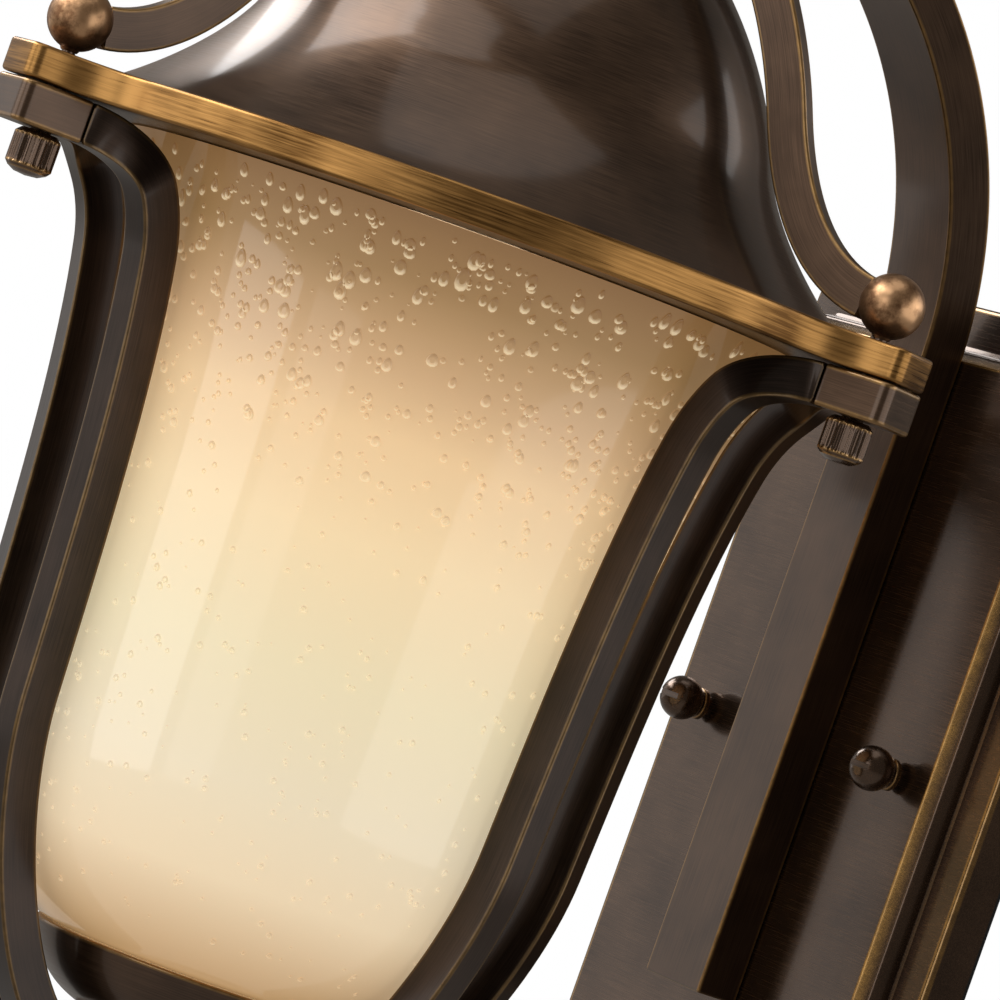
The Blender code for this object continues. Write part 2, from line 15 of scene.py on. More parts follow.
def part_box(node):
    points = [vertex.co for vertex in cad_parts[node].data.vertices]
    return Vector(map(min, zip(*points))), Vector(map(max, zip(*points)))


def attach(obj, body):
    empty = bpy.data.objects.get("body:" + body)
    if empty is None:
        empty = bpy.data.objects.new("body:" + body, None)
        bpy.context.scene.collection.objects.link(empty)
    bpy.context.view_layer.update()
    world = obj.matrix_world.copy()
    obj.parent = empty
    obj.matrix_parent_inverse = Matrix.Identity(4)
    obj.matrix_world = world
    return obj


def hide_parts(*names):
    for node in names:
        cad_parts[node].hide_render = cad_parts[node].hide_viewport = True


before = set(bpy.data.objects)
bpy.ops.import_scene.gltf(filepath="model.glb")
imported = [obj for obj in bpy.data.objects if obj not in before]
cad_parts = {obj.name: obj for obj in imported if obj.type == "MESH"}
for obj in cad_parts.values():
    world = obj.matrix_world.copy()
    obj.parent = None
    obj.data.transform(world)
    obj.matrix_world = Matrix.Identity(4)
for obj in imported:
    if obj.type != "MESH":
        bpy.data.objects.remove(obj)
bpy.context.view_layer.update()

bl_info = {
    "name": "Wall Lantern",
    "version": (1, 0, 0),
    "blender": (4, 5, 0),
    "location": "View3D > Sidebar > Lantern",
    "description": "Makes the fine surfaces and finishes of a bronze wall lantern with a seeded glass bell",
    "category": "Object",
}

MM = 0.001


def span(node):
    """Lowest and highest corner of a frame node, in millimetres."""
    low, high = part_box(node)
    return np.array(low) / MM, np.array(high) / MM


def middle(node, side):
    low, high = span(node)
    return (low[side] + high[side]) / 2


# ------------------------------------------------------ places from the frame

GLASS_LOW, GLASS_HIGH = span("glass_shade")
FLANGE_LOW, FLANGE_HIGH = span("flange")
PLATE_LOW, PLATE_HIGH = span("wall_plate")
ARM_LOW, ARM_HIGH = span("arm")
LUG_LOW, LUG_HIGH = span("lug_1")
AXIS_Y = middle("glass_shade", 1)
LUG_ANGLES = (-90.0, 30.0, 150.0)
SCREW_RADIUS = AXIS_Y - middle("lug_stud_1", 1)
LIP_RADIUS = GLASS_HIGH[0]
PLATE_DEPTH = -PLATE_LOW[1]
PLATE_BACK = -PLATE_HIGH[1]
NUT_TURN_X = middle("cap_nut_right", 0)

# ------------------------------------------------------------- shape constants

PLATE_BORDER = 14.5
PLATE_WALL = 2.0
PLATE_CORNER = 2.5
BEVEL_WEAR = 1.6
ARM_THICKNESS = 11.1
ARM_SPRING = 95.0
STEM_BORE_RADIUS = 5.1
FLANGE_DISC = 102.0
FLANGE_BORE = 70.0
EAR_HALF_WIDTH = 8.0
EAR_CORNER = 3.0
EAR_FILLET = 17.0
STRAP_SECTION = (8.4, 9.5)
STRAP_ANGLES = (2.4, 9.3)
STRAP_SPLAY_END = 88.0
SCROLL_SECTION = (4.4, 9.8)
GLASS_WALL = 3.0
STUD_BORE = 2.8
BALL_RADIUS = 7.4
BALL_CENTRE = 98.5
ROOF_SHEET = 2.0
ROOF_WAIST = (61.7, 121.0)
DOME_CENTRE = (-27.8, 88.2)
DOME_RADIUS = 95.3
CROWN_HOLE = 12.0
SCROLL_KNEE = (69.5, 132.5)
WEAR_REACH = 0.45
SHARP_ANGLE = math.radians(38)


# -------------------------------------------------------------------- settings


def linear(colour):
    """An sRGB hex colour as linear red, green and blue."""
    parts = np.array([int(colour[i : i + 2], 16) for i in (1, 3, 5)]) / 255.0
    curved = np.where(parts <= 0.04045, parts / 12.92, ((parts + 0.055) / 1.055) ** 2.4)
    return tuple(float(v) for v in curved)


def length(name, description, millimetres):
    return bpy.props.FloatProperty(
        name=name, description=description, default=millimetres * MM, min=0.0, unit="LENGTH", precision=5,
    )


def colour(name, description, code):
    return bpy.props.FloatVectorProperty(
        name=name, description=description, default=linear(code), subtype="COLOR", min=0.0, max=1.0,
    )


class LanternSizes(bpy.types.PropertyGroup):
    bar_edge: length("Bar edge", "Radius of the edges of arm, straps and scrolls", 0.5)
    turned_edge: length("Turned edge", "Radius of the edges of turned pieces", 0.6)
    flute_depth: length("Flute depth", "How deep the thumb nuts' flutes are", 0.55)
    flutes: bpy.props.IntProperty(
        name="Flutes", description="Flutes round a thumb nut", default=18, min=6,
    )
    seeds: bpy.props.IntProperty(
        name="Seeds", description="Bubbles of each of the two sizes in the glass", default=1500, min=1,
    )
    seed_height: length("Seed height", "How far a bubble stands out of the glass", 0.30)


class LanternColours(bpy.types.PropertyGroup):
    bronze_dark: colour("Bronze, dark", "Dark tone of the bronze finish", "#3e2e22")
    bronze_light: colour("Bronze, light", "Light tone of the bronze finish", "#604a39")
    worn_brass: colour("Worn brass", "Brass that shows along rubbed edges", "#b98f50")
    strap_dark: colour("Strap, dark", "Dark tone of the blackened straps", "#251c16")
    strap_light: colour("Strap, light", "Light tone of the blackened straps", "#3f3128")
    strap_brass: colour("Strap, brass", "Dull brass along the straps' edges", "#86683a")
    rim_dark: colour("Rim, dark", "Dark streaks of the flange's brass", "#5a3d1c")
    rim_light: colour("Rim, light", "Light streaks of the flange's brass", "#a97e48")
    copper: colour("Copper", "Rubbed copper of the balls", "#b58e69")
    copper_dark: colour("Copper, dark", "Dark patches of the balls", "#6b4c34")


def sizes():
    return bpy.context.scene.lantern_sizes


def colours():
    return bpy.context.scene.lantern_colours


# ---------------------------------------------------------------- plane curves


def bezier(p0, p1, p2, p3, steps):
    """Cubic curve: (1-t)^3 p0 + 3(1-t)^2 t p1 + 3(1-t) t^2 p2 + t^3 p3, as (steps + 1, 2) points."""
    t = np.linspace(0.0, 1.0, steps + 1)[:, None]
    s = 1.0 - t
    p0, p1, p2, p3 = (np.array(p, float) for p in (p0, p1, p2, p3))
    return s**3 * p0 + 3 * s**2 * t * p1 + 3 * s * t**2 * p2 + t**3 * p3


def arc(cx, cy, radius, start, end, steps):
    """Points at centre + radius (cos a, sin a), with a from start to end in degrees."""
    a = np.radians(np.linspace(start, end, steps + 1))
    return np.stack([cx + radius * np.cos(a), cy + radius * np.sin(a)], axis=1)


def chain(*pieces):
    """Curves that share their end points, as one."""
    return np.concatenate([pieces[0]] + [piece[1:] for piece in pieces[1:]])


def unit(arrows):
    """The arrows, each divided by its length."""
    return arrows / np.linalg.norm(arrows, axis=-1, keepdims=True)


def beside(line, distance):
    """The line moved square to itself: to its right where distance is positive."""
    along = unit(np.gradient(line, axis=0))
    return line + distance * np.stack([along[:, 1], -along[:, 0]], axis=1)


def turned_corner(before, point, after, radius):
    """An arc of the radius that touches both sides of a corner, in rows of x, y and wear.

    The arc's points are centre + radius (sin((1-t)a) u + sin(t a) v) / sin a, where u and v
    point from its centre to the two sides. Wear is 1 on the arc and falls to 0 beside it.
    """
    steps = 5
    a, b = before - point, after - point
    far_a, far_b = np.linalg.norm(a), np.linalg.norm(b)
    a, b = a / far_a, b / far_b
    half = math.acos(float(np.clip(a @ b, -1.0, 1.0))) / 2
    tangent = radius / math.tan(half)
    centre = point + (a + b) / np.linalg.norm(a + b) * radius / math.sin(half)
    u, v = (point + a * tangent - centre) / radius, (point + b * tangent - centre) / radius
    angle = math.pi - 2 * half
    t = np.linspace(0.0, 1.0, steps + 1)[:, None]
    bend = centre + radius * (np.sin((1 - t) * angle) * u + np.sin(t * angle) * v) / math.sin(angle)
    first = point + a * (tangent + min(WEAR_REACH, 0.4 * (far_a - tangent)))
    last = point + b * (tangent + min(WEAR_REACH, 0.4 * (far_b - tangent)))
    rows = np.concatenate([[first], bend, [last]])
    return np.column_stack([rows, [0.0] + [1.0] * (steps + 1) + [0.0]])


def outline(*parts, closed=True):
    """Corners (x, y, radius) and runs of curve points, joined in order into rows of x, y and wear.

    A point without a radius stays sharp.
    """
    parts = [np.atleast_2d(np.asarray(part, float)) for part in parts]
    points = np.concatenate([part[:, :2] for part in parts])
    radii = np.concatenate([
        part[:, 2] if part.shape[1] == 3 else np.zeros(len(part)) for part in parts
    ])
    last = len(points) - 1
    rows = []
    for i, (point, radius) in enumerate(zip(points, radii)):
        if radius <= 0.0 or (not closed and i in (0, last)):
            rows.append(np.array([[point[0], point[1], 0.0]]))
        else:
            rows.append(turned_corner(points[i - 1], point, points[(i + 1) % len(points)], radius))
    return np.concatenate(rows)


def bar_section(width, depth, radius):
    """Outline of a rectangle round the origin with all four edges rounded."""
    w, d = width / 2, depth / 2
    return outline((w, -d, radius), (w, d, radius), (-w, d, radius), (-w, -d, radius))


# ------------------------------------------------------------------- surfaces


def run(points):
    """Length along the rows of an array of points, from its start."""
    step = np.linalg.norm(np.diff(points, axis=0), axis=-1)
    return np.concatenate([np.zeros_like(step[:1]), np.cumsum(step, 0)])


def ringed(points):
    """The rows of a closed plan with the first one again at the end."""
    return np.concatenate([points, points[:1]])


def grain_of(along, across):
    """Grain of a grid: how far each column is along the brush marks and each row across them."""
    return np.stack(np.broadcast_arrays(along, across), axis=-1)


def cells(grid):
    """The four corners of each cell of a grid, in turning order."""
    return np.stack([grid[:-1, :-1], grid[:-1, 1:], grid[1:, 1:], grid[1:, :-1]], axis=2)


class Surface:
    """A grid of points (rows, columns) whose columns close to a ring.

    grain holds, for each corner of the grid with its closing row and column, how far it is
    along the brush marks and across them, in millimetres.
    """

    def __init__(self, points, wear, grain, tube=False, poles=(None, None)):
        self.points, self.wear, self.grain = points, wear, grain
        self.tube, self.poles = tube, poles

    def moved(self, place):
        """Each point put where the place function says."""
        self.points = place(self.points)
        self.poles = [None if pole is None else place(np.asarray(pole, float)) for pole in self.poles]
        return self

    def mesh(self, name):
        """Quads between neighbouring rows; each end of an open grid is closed with a fan."""
        rows, columns = self.points.shape[:2]
        points = self.points.reshape(-1, 3)
        wear = np.broadcast_to(self.wear, (rows, columns)).ravel()
        index = np.arange(rows * columns).reshape(rows, columns)
        ring = np.concatenate([index, index[:, :1]], axis=1)
        if self.tube:
            ring = np.concatenate([ring, ring[:1]])
        quads = cells(ring).reshape(-1, 4)
        quad_grain = cells(self.grain).reshape(-1, 4, 2)
        fans, fan_grain = [], []
        if not self.tube:
            for k, (end, flip) in enumerate(((0, True), (-1, False))):
                edge, edge_grain = ring[end], self.grain[end]
                hub = self.points[end].mean(axis=0) if self.poles[k] is None else self.poles[k]
                points = np.concatenate([points, [hub]])
                wear = np.append(wear, 0.0)
                hubs = np.full(columns, len(points) - 1)
                hub_grain = edge_grain[:-1] + (edge_grain[1:] - edge_grain[:-1]) / 2
                fan = np.stack([edge[:-1], edge[1:], hubs], axis=1)
                grain = np.stack([edge_grain[:-1], edge_grain[1:], hub_grain], axis=1)
                fans.append(fan[:, ::-1] if flip else fan)
                fan_grain.append(grain[:, ::-1] if flip else grain)
        fans = np.concatenate(fans) if fans else np.zeros((0, 3), int)
        fan_grain = np.concatenate(fan_grain) if fan_grain else np.zeros((0, 3, 2))
        halves = np.concatenate([quads[:, :3], quads[:, [0, 2, 3]], fans])
        a, b, c = (points[halves[:, k]] for k in range(3))
        if np.einsum("ij,ij->", a, np.cross(b, c)) < 0.0:
            quads, quad_grain = quads[:, ::-1], quad_grain[:, ::-1]
            fans, fan_grain = fans[:, ::-1], fan_grain[:, ::-1]
        made = bpy.data.meshes.new(name)
        made.from_pydata((points * MM).tolist(), [], quads.tolist() + fans.tolist())
        wear_layer = made.attributes.new("Wear", "FLOAT", "POINT")
        wear_layer.data.foreach_set("value", wear.astype(np.float32))
        grain = np.concatenate([quad_grain.reshape(-1, 2), fan_grain.reshape(-1, 2)])
        grain_layer = made.uv_layers.new(name="Grain")
        grain_layer.data.foreach_set("uv", (grain * MM).astype(np.float32).ravel())
        made.shade_smooth()
        made.set_sharp_from_angle(angle=SHARP_ANGLE)
        return made


def revolve(profile, segments, shape=None):
    """Profile rows (radius, height, wear) turned about Z: (r cos a, r sin a, z).

    The turn starts on the wall's side. shape(radius, angle, height) may vary the radius round
    it. A profile that ends on the axis gets a pole there; any other is closed to a ring.
    """
    profile = np.asarray(profile, float)
    if profile.shape[1] == 2:
        profile = np.column_stack([profile, np.zeros(len(profile))])
    starts, ends = profile[0, 0] <= 1e-6, profile[-1, 0] <= 1e-6
    tube = not (starts or ends)
    poles = [None, None]
    if starts:
        poles[0] = np.array([0.0, 0.0, profile[0, 1]])
        profile = profile[1:]
    if ends:
        poles[1] = np.array([0.0, 0.0, profile[-1, 1]])
        profile = profile[:-1]
    angle = math.tau * np.arange(segments)[None, :] / segments - math.radians(270)
    radius, height = profile[:, :1] + 0.0 * angle, profile[:, 1:2] + 0.0 * angle
    if shape is not None:
        radius = shape(radius, angle, height)
    points = np.stack([radius * np.cos(angle), radius * np.sin(angle), height], axis=-1)
    across = run(ringed(profile[:, :2]) if tube else profile[:, :2])
    along = math.tau * np.linspace(0.0, 1.0, segments + 1) * profile[:, 0].max()
    grain = grain_of(along[None, :], across[:, None])
    return Surface(points, profile[:, 2:3], grain, tube, poles)


def sweep(path, wide, deep, section, end, squeeze=None):
    """Section rows (x, y, wear) carried along a path: point = path + wide x + deep y.

    wide and deep are unit arrows at each station and squeeze scales x there. Each end is
    softened by a ring that is smaller by the end radius, and is rubbed a little.
    """
    half_x, half_y = np.abs(section[:, 0]).max(), np.abs(section[:, 1]).max()
    scale = np.ones((len(path), 2))
    if squeeze is not None:
        scale[:, 0] = squeeze
    along = unit(np.stack([path[1] - path[0], path[-1] - path[-2]])) * end
    small = [1.0 - end / half_x, 1.0 - end / half_y]
    path = np.concatenate([
        path[:1], path[:1] + along[:1], path[1:-1], path[-1:] - along[1:], path[-1:],
    ])
    scale = np.concatenate([scale[:1] * small, scale, scale[-1:] * small])
    wide, deep = (np.concatenate([v[:1], v, v[-1:]]) for v in (wide, deep))
    points = path[:, None, :]
    points = points + wide[:, None, :] * (section[None, :, :1] * scale[:, None, :1])
    points = points + deep[:, None, :] * (section[None, :, 1:2] * scale[:, None, 1:2])
    wear = np.repeat(section[None, :, 2], len(path), axis=0)
    wear[[0, -1]] = 0.7
    grain = grain_of(run(path)[:, None], run(ringed(section[:, :2]))[None, :])
    return Surface(points, wear, grain)


def stacked(plan, levels, centre, bore):
    """A flat piece over a closed plan (x, y): rings moved in from the plan by each level's inset.

    levels holds rows of inset, height and wear, from the bottom edge to the top one, and the
    bore's two rings close the piece round a hole of that radius at the centre.
    """
    along = unit(np.roll(plan, -1, axis=0) - np.roll(plan, 1, axis=0))
    inward = np.stack([-along[:, 1], along[:, 0]], axis=1)
    levels = np.asarray(levels, float)
    flat = plan[None] + inward[None] * levels[:, :1, None]
    height = np.broadcast_to(levels[:, 1:2, None], flat.shape[:2] + (1,))
    outer = np.concatenate([flat, height], axis=-1)
    a = np.arctan2(plan[:, 1] - centre[1], plan[:, 0] - centre[0])
    hole = np.stack([centre[0] + bore * np.cos(a), centre[1] + bore * np.sin(a)], axis=1)
    top = np.column_stack([hole, np.full(len(hole), levels[-1, 1])])
    foot = np.column_stack([hole, np.full(len(hole), levels[0, 1])])
    points = np.concatenate([outer, [top], [foot]])
    wear = np.concatenate([levels[:, 2], [0.0, 0.0]])[:, None]
    grain = grain_of(run(ringed(plan))[None, :], run(ringed(points))[:, :1])
    return Surface(points, wear, grain, tube=True)


def on_axis(points):
    """From the lantern's own axis to its place in front of the wall."""
    return points + np.array([0.0, AXIS_Y, 0.0])


def at_lug(angle):
    """A place function that moves a turned piece from the origin to a lug's screw."""
    a = math.radians(angle)
    screw = np.array([SCREW_RADIUS * math.cos(a), SCREW_RADIUS * math.sin(a) + AXIS_Y, 0.0])
    return lambda points: points + screw


def turned_to(angle):
    """A place function that turns a piece drawn along +X to an angle round the lantern's axis."""
    a = math.radians(angle)
    c, d = math.cos(a), math.sin(a)
    turn = np.array([[c, d, 0.0], [-d, c, 0.0], [0.0, 0.0, 1.0]])
    return lambda points: on_axis(points @ turn)


def from_wall(x, z):
    """A place function that lays a turned piece's axis straight out from the wall."""
    return lambda points: np.stack([points[..., 0] + x, -points[..., 2], points[..., 1] + z], axis=-1)


def put(name, data):
    """A new object in the scene that holds the data."""
    made = bpy.data.objects.new(name, data)
    bpy.context.scene.collection.objects.link(made)
    return made


def add(name, surface, material, body):
    """Puts a surface into the scene as a piece that rides on a body and stands for its node."""
    piece = put(name, surface.mesh(name))
    piece.data.materials.append(material)
    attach(piece, body)
    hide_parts(name.removesuffix("_surface"))
    return piece


# ------------------------------------------------------------------- materials


def node(owner, kind, inputs=None, output=0, **settings):
    """Adds a node with its settings and gives one of its outputs.

    inputs are values, or outputs of other nodes to link.
    """
    made = owner.node_tree.nodes.new(kind)
    for key, value in settings.items():
        setattr(made, key, value)
    for key, value in (inputs or {}).items():
        if isinstance(value, bpy.types.NodeSocket):
            owner.node_tree.links.new(value, made.inputs[key])
        else:
            made.inputs[key].default_value = value
    return made.outputs[output] if made.outputs else None


def finish(name, shader_inputs):
    """A material whose Principled shader gets what shader_inputs(material, place) works out.

    place is where each point of the piece is, in metres.
    """
    material = bpy.data.materials.new(name)
    material.use_nodes = True
    material.node_tree.nodes.clear()
    place = node(material, "ShaderNodeTexCoord", output="Object")
    shader = node(material, "ShaderNodeBsdfPrincipled", shader_inputs(material, place))
    node(material, "ShaderNodeOutputMaterial", {"Surface": shader})
    return material


def once(make):
    """Keeps a material builder's result, so that each finish is made one time."""
    kept = {}

    def wrapped(*arguments):
        if arguments not in kept:
            kept[arguments] = make(*arguments)
        return kept[arguments]

    return wrapped


def rgba(colour_value):
    return (*colour_value, 1.0)


def tint(code):
    """An sRGB hex colour as a socket takes it."""
    return rgba(linear(code))


def blend(material, pattern, span_of, first, second, most=1.0):
    """Colour from the first to at most that share of the second, as a pattern rises over a span."""
    low, high = span_of
    rising = {0: pattern, 1: low, 2: high, 3: 0.0, 4: most}
    share = node(material, "ShaderNodeMapRange", rising)
    return node(material, "ShaderNodeMix", {0: share, 6: first, 7: second}, 2, data_type="RGBA")


def patches(material, place, size, detail=2.0, roughness=0.5, stretch=1.0):
    """Noise whose patches are about the size given in millimetres, and stretch times as long."""
    width = size * MM
    inputs = {"Vector": place, "Scale": (1.0 / (width * stretch), 1.0 / width, 1.0 / width)}
    scaled = node(material, "ShaderNodeMapping", inputs)
    inputs = {"Vector": scaled, "Scale": 1.0, "Detail": detail, "Roughness": roughness}
    return node(material, "ShaderNodeTexNoise", inputs)


# The middle stretch of a noise, where most of its values lie, as a Map Range node takes it.
MIDDLE = {1: 0.3, 2: 0.7}
# Sizes in millimetres: width of a brush line, how many times as long it is, patches of tarnish
# and of rubbing. Real brush lines are finer; these are as coarse as they need to be to show.
HAIR_LINE, HAIR_STRETCH, TARNISH, RUBBING = 0.30, 55.0, 24.0, 3.0


def brushed_metal(name, tones, gloss, coat, worn, along_bars=True):
    """A brushed metal: two tones in broad patches, fine lines along the grain, worn edges."""

    def inputs(material, place):
        grain = node(material, "ShaderNodeUVMap", uv_map="Grain") if along_bars else place
        lines = patches(material, grain, HAIR_LINE, 2.0, 0.6, HAIR_STRETCH)
        clouds = patches(material, place, TARNISH, 3.0, 0.55)
        tone = node(material, "ShaderNodeMath", {0: lines, 1: clouds}, operation="ADD")
        base = blend(material, tone, (0.70, 1.35), rgba(tones[0]), rgba(tones[1]))
        rubbed = patches(material, place, RUBBING, 3.0, 0.6)
        share = node(material, "ShaderNodeMapRange", {0: rubbed, **MIDDLE, 3: 0.28, 4: 0.56})
        wear = node(material, "ShaderNodeAttribute", output="Fac", attribute_name="Wear")
        shown = node(material, "ShaderNodeMath", {0: wear, 1: share}, operation="MULTIPLY")
        rough = node(material, "ShaderNodeMapRange", {0: lines, **MIDDLE, 3: gloss[0], 4: gloss[1]})
        bump = {"Strength": 0.12, "Distance": 0.02 * MM, "Height": lines}
        return {
            "Base Color": blend(material, shown, (0.0, 1.0), base, rgba(worn)),
            "Metallic": 0.88, "Roughness": rough, "Normal": node(material, "ShaderNodeBump", bump),
            "Coat Weight": coat[0], "Coat Roughness": coat[1],
        }

    return finish(name, inputs)


@once
def brushed_bronze():
    """Antique bronze finish on aluminium bar and sheet, brushed and lacquered.

    The eye gets a near-black brown with soft grey sheen, hair lines along each bar, and
    brass that shows through where edges are rubbed.
    """
    tones = (colours().bronze_dark, colours().bronze_light)
    worn = colours().worn_brass
    return brushed_metal("antique_bronze_brushed", tones, (0.28, 0.40), (0.4, 0.12), worn)


@once
def cast_bronze():
    """The same finish on castings and turned pieces: glossier, its lines run across the piece."""
    tones = (colours().bronze_dark, colours().bronze_light)
    worn = colours().worn_brass
    return brushed_metal("antique_bronze_cast", tones, (0.20, 0.30), (0.4, 0.12), worn, False)


@once
def strap_bronze():
    """Bronze of the straps, a darker copy of the rest, with dull brass along rubbed edges."""
    tones = (colours().strap_dark, colours().strap_light)
    worn = colours().strap_brass
    return brushed_metal("antique_bronze_blackened", tones, (0.30, 0.42), (0.3, 0.15), worn)


@once
def antique_brass():
    """Brushed antique brass of the flange: golden and brown streaks that run round the rim.

    The eye gets gold on the rim only, because the flat faces keep the bronze.
    """

    def inputs(material, place):
        grain = node(material, "ShaderNodeUVMap", uv_map="Grain")
        streaks = patches(material, grain, 0.55, 3.0, 0.65, 40.0)
        clouds = patches(material, place, 22.0, 2.0, 0.5)
        tone = node(material, "ShaderNodeMath", {0: streaks, 1: clouds}, operation="ADD")
        gold = blend(material, tone, (0.78, 1.18), rgba(colours().rim_dark), rgba(colours().rim_light))
        rim = node(material, "ShaderNodeAttribute", output="Fac", attribute_name="Wear")
        bump = {"Strength": 0.18, "Distance": 0.03 * MM, "Height": streaks}
        return {
            "Base Color": blend(material, rim, (0.0, 1.0), rgba(colours().bronze_dark), gold),
            "Metallic": 0.95, "Normal": node(material, "ShaderNodeBump", bump),
            "Roughness": node(material, "ShaderNodeMapRange", {0: streaks, **MIDDLE, 3: 0.26, 4: 0.40}),
        }

    return finish("antique_brass_brushed", inputs)


@once
def rubbed_copper():
    """Rubbed copper bronze of the balls: a warm satin metal with darker patches of patina."""

    def inputs(material, place):
        patina = patches(material, place, 4.5, 4.0, 0.65)
        tones = rgba(colours().copper_dark), rgba(colours().copper)
        bump = {"Strength": 0.15, "Distance": 0.05 * MM, "Height": patches(material, place, 1.0, 3.0)}
        return {
            "Base Color": blend(material, patina, (0.36, 0.58), *tones),
            "Metallic": 0.95, "Normal": node(material, "ShaderNodeBump", bump),
            "Roughness": node(material, "ShaderNodeMapRange", {0: patina, **MIDDLE, 3: 0.42, 4: 0.28}),
        }

    return finish("rubbed_copper_ball", inputs)


# Tone of the glass by height in millimetres: amber at the lip, cream with a painted glow over the lamp,
# amber at the foot.
# The glass also emits these tones: a painted glow, since the glass itself is no lamp.
GLASS_TONES_AND_PAINTED_GLOW = (
    (82.0, "#88653d"), (68.0, "#98784f"), (58.0, "#b09068"), (48.0, "#c3a47d"), (34.0, "#dabf96"),
    (10.0, "#e0cda8"), (-20.0, "#dbd0b1"), (-48.0, "#dacfb6"), (-70.0, "#dccbad"), (-94.0, "#bd9a6c"),
)


def glass_tone_and_painted_glow(material, place):
    """Base colour of the glass with a painted glow over the lamp, read from the height of each point."""
    height = node(material, "ShaderNodeSeparateXYZ", {0: place}, "Z")
    top, foot = GLASS_TONES_AND_PAINTED_GLOW[0][0], GLASS_TONES_AND_PAINTED_GLOW[-1][0]
    share = node(material, "ShaderNodeMapRange", {0: height, 1: foot * MM, 2: top * MM})
    tone = node(material, "ShaderNodeValToRGB", {0: share})
    stops = tone.node.color_ramp.elements
    while len(stops) < len(GLASS_TONES_AND_PAINTED_GLOW):
        stops.new(0.5)
    for stop, (at, code) in zip(stops, reversed(GLASS_TONES_AND_PAINTED_GLOW)):
        stop.position = (at - foot) / (top - foot)
        stop.color = tint(code)
    return tone


def glass_inputs(tone):
    """Gloss, etching and depth of the glass in one tone, and a painted glow that emits that tone."""
    return {
        "Base Color": tone, "Roughness": 0.50, "IOR": 1.5, "Transmission Weight": 0.14,
        "Coat Weight": 1.0, "Coat Roughness": 0.05, "Coat IOR": 1.5,
        # Painted glow: the glass emits its own tone, standing in for the lamp's light through it.
        "Emission Color": tone, "Emission Strength": 0.60,
    }


@once
def seeded_glass():
    """Light amber glass, glossy outside and etched inside, with the light from within painted on as a glow.

    The eye gets a creamy translucent body with an even warm painted glow, and the window bright
    reflections of a polished outer skin.
    """
    return finish("seeded_amber_glass", lambda *at: glass_inputs(glass_tone_and_painted_glow(*at)))


@once
def bubble_glass():
    """The same glass where it swells over a bubble.

    The eye gets a painted brown shade on a bubble's upper side and a painted cream highlight on its lower
    one, set per point by an attribute, not by the lamps.
    """

    def inputs(material, place):
        painted_light_shade = node(material, "ShaderNodeAttribute", output="Fac", attribute_name="Glint")
        tone = glass_tone_and_painted_glow(material, place)
        # Painted shade (brown) on each bubble's upper side and painted highlight (cream) on its lower side.
        painted_shade_tone = blend(material, painted_light_shade, (0.0, -1.0), tone, tint("#7c5530"), 0.45)
        return glass_inputs(blend(material, painted_light_shade, (0.0, 1.0), painted_shade_tone, tint("#f3dfb8"), 0.75))

    return finish("seeded_amber_glass_bubbles", inputs)


def plain(name, tones, size, roughness, metallic=0.0, bump=0.0, **more):
    """A finish in two tones over the piece's own place, for small and inner pieces."""

    def inputs(material, place):
        pattern = patches(material, place, size, 3.0, 0.6)
        duller = {0: pattern, **MIDDLE, 3: roughness, 4: roughness * 1.25}
        raised = {"Strength": bump, "Distance": 0.05 * MM, "Height": pattern}
        return {
            "Base Color": blend(material, pattern, (0.35, 0.65), tint(tones[0]), tint(tones[1])),
            "Metallic": metallic, "Roughness": node(material, "ShaderNodeMapRange", duller),
            "Normal": node(material, "ShaderNodeBump", raised), **more,
        }

    return finish(name, inputs)


@once
def zinc_plate():
    """Zinc plated steel: bluish grey crystals, half gloss."""
    return plain("zinc_plated_steel", ("#9a9ea3", "#bfc2c5"), 2.0, 0.34, 0.95, 0.1)


@once
def foam_rubber():
    """Closed-cell foam rubber: dull black with fine pores."""
    return plain("foam_rubber_black", ("#141414", "#232323"), 0.8, 0.8, 0.0, 0.6)


@once
def glazed_porcelain():
    """Glazed porcelain lamp holder: warm white with a wet gloss."""
    return plain("glazed_porcelain", ("#e2ddd0", "#efebe1"), 6.0, 0.16, 0.0, 0.05, **{"Coat Weight": 0.6})


@once
def earth_green():
    """Green dyed earth screw."""
    return plain("green_dyed_steel", ("#1d5b31", "#2c7a45"), 1.5, 0.4, 0.7, 0.1)


@once
def cap_brass():
    """Rolled brass of the bulb's screw cap and the contact."""
    return plain("rolled_brass", ("#b08d46", "#cdb06a"), 2.5, 0.28, 1.0, 0.1)


@once
def frosted_bulb():
    """Frosted white bulb, lit: an even warm glow."""
    return plain(
        "frosted_bulb_lit", ("#fff2dc", "#fff6e6"), 8.0, 0.4, 0.0, 0.0,
        **{"Emission Color": tint("#ffdcb2"), "Emission Strength": 2.6},
    )


# ----------------------------------------------------------------- wall and arm


def plate_rings(outs, depths):
    """Rounded rectangles round the plate: the panel's half size plus out, at a depth off the wall."""
    steps = 8
    half_width = PLATE_HIGH[0] - PLATE_BORDER
    half_height = PLATE_HIGH[2] - PLATE_BORDER
    corner = PLATE_CORNER + np.maximum(outs, 0.0)[:, None] * 0.35
    a = np.radians(np.linspace(0.0, 90.0, steps + 1))[None, :]
    sides = []
    for quarter, (sx, sz) in enumerate(((1, 1), (-1, 1), (-1, -1), (1, -1))):
        turn = a + quarter * math.pi / 2
        x = sx * (half_width + outs[:, None] - corner) + corner * np.cos(turn)
        z = sz * (half_height + outs[:, None] - corner) + corner * np.sin(turn)
        sides.append(np.stack([x, np.broadcast_to(-depths[:, None], x.shape), z], axis=-1))
    return np.concatenate(sides, axis=1)


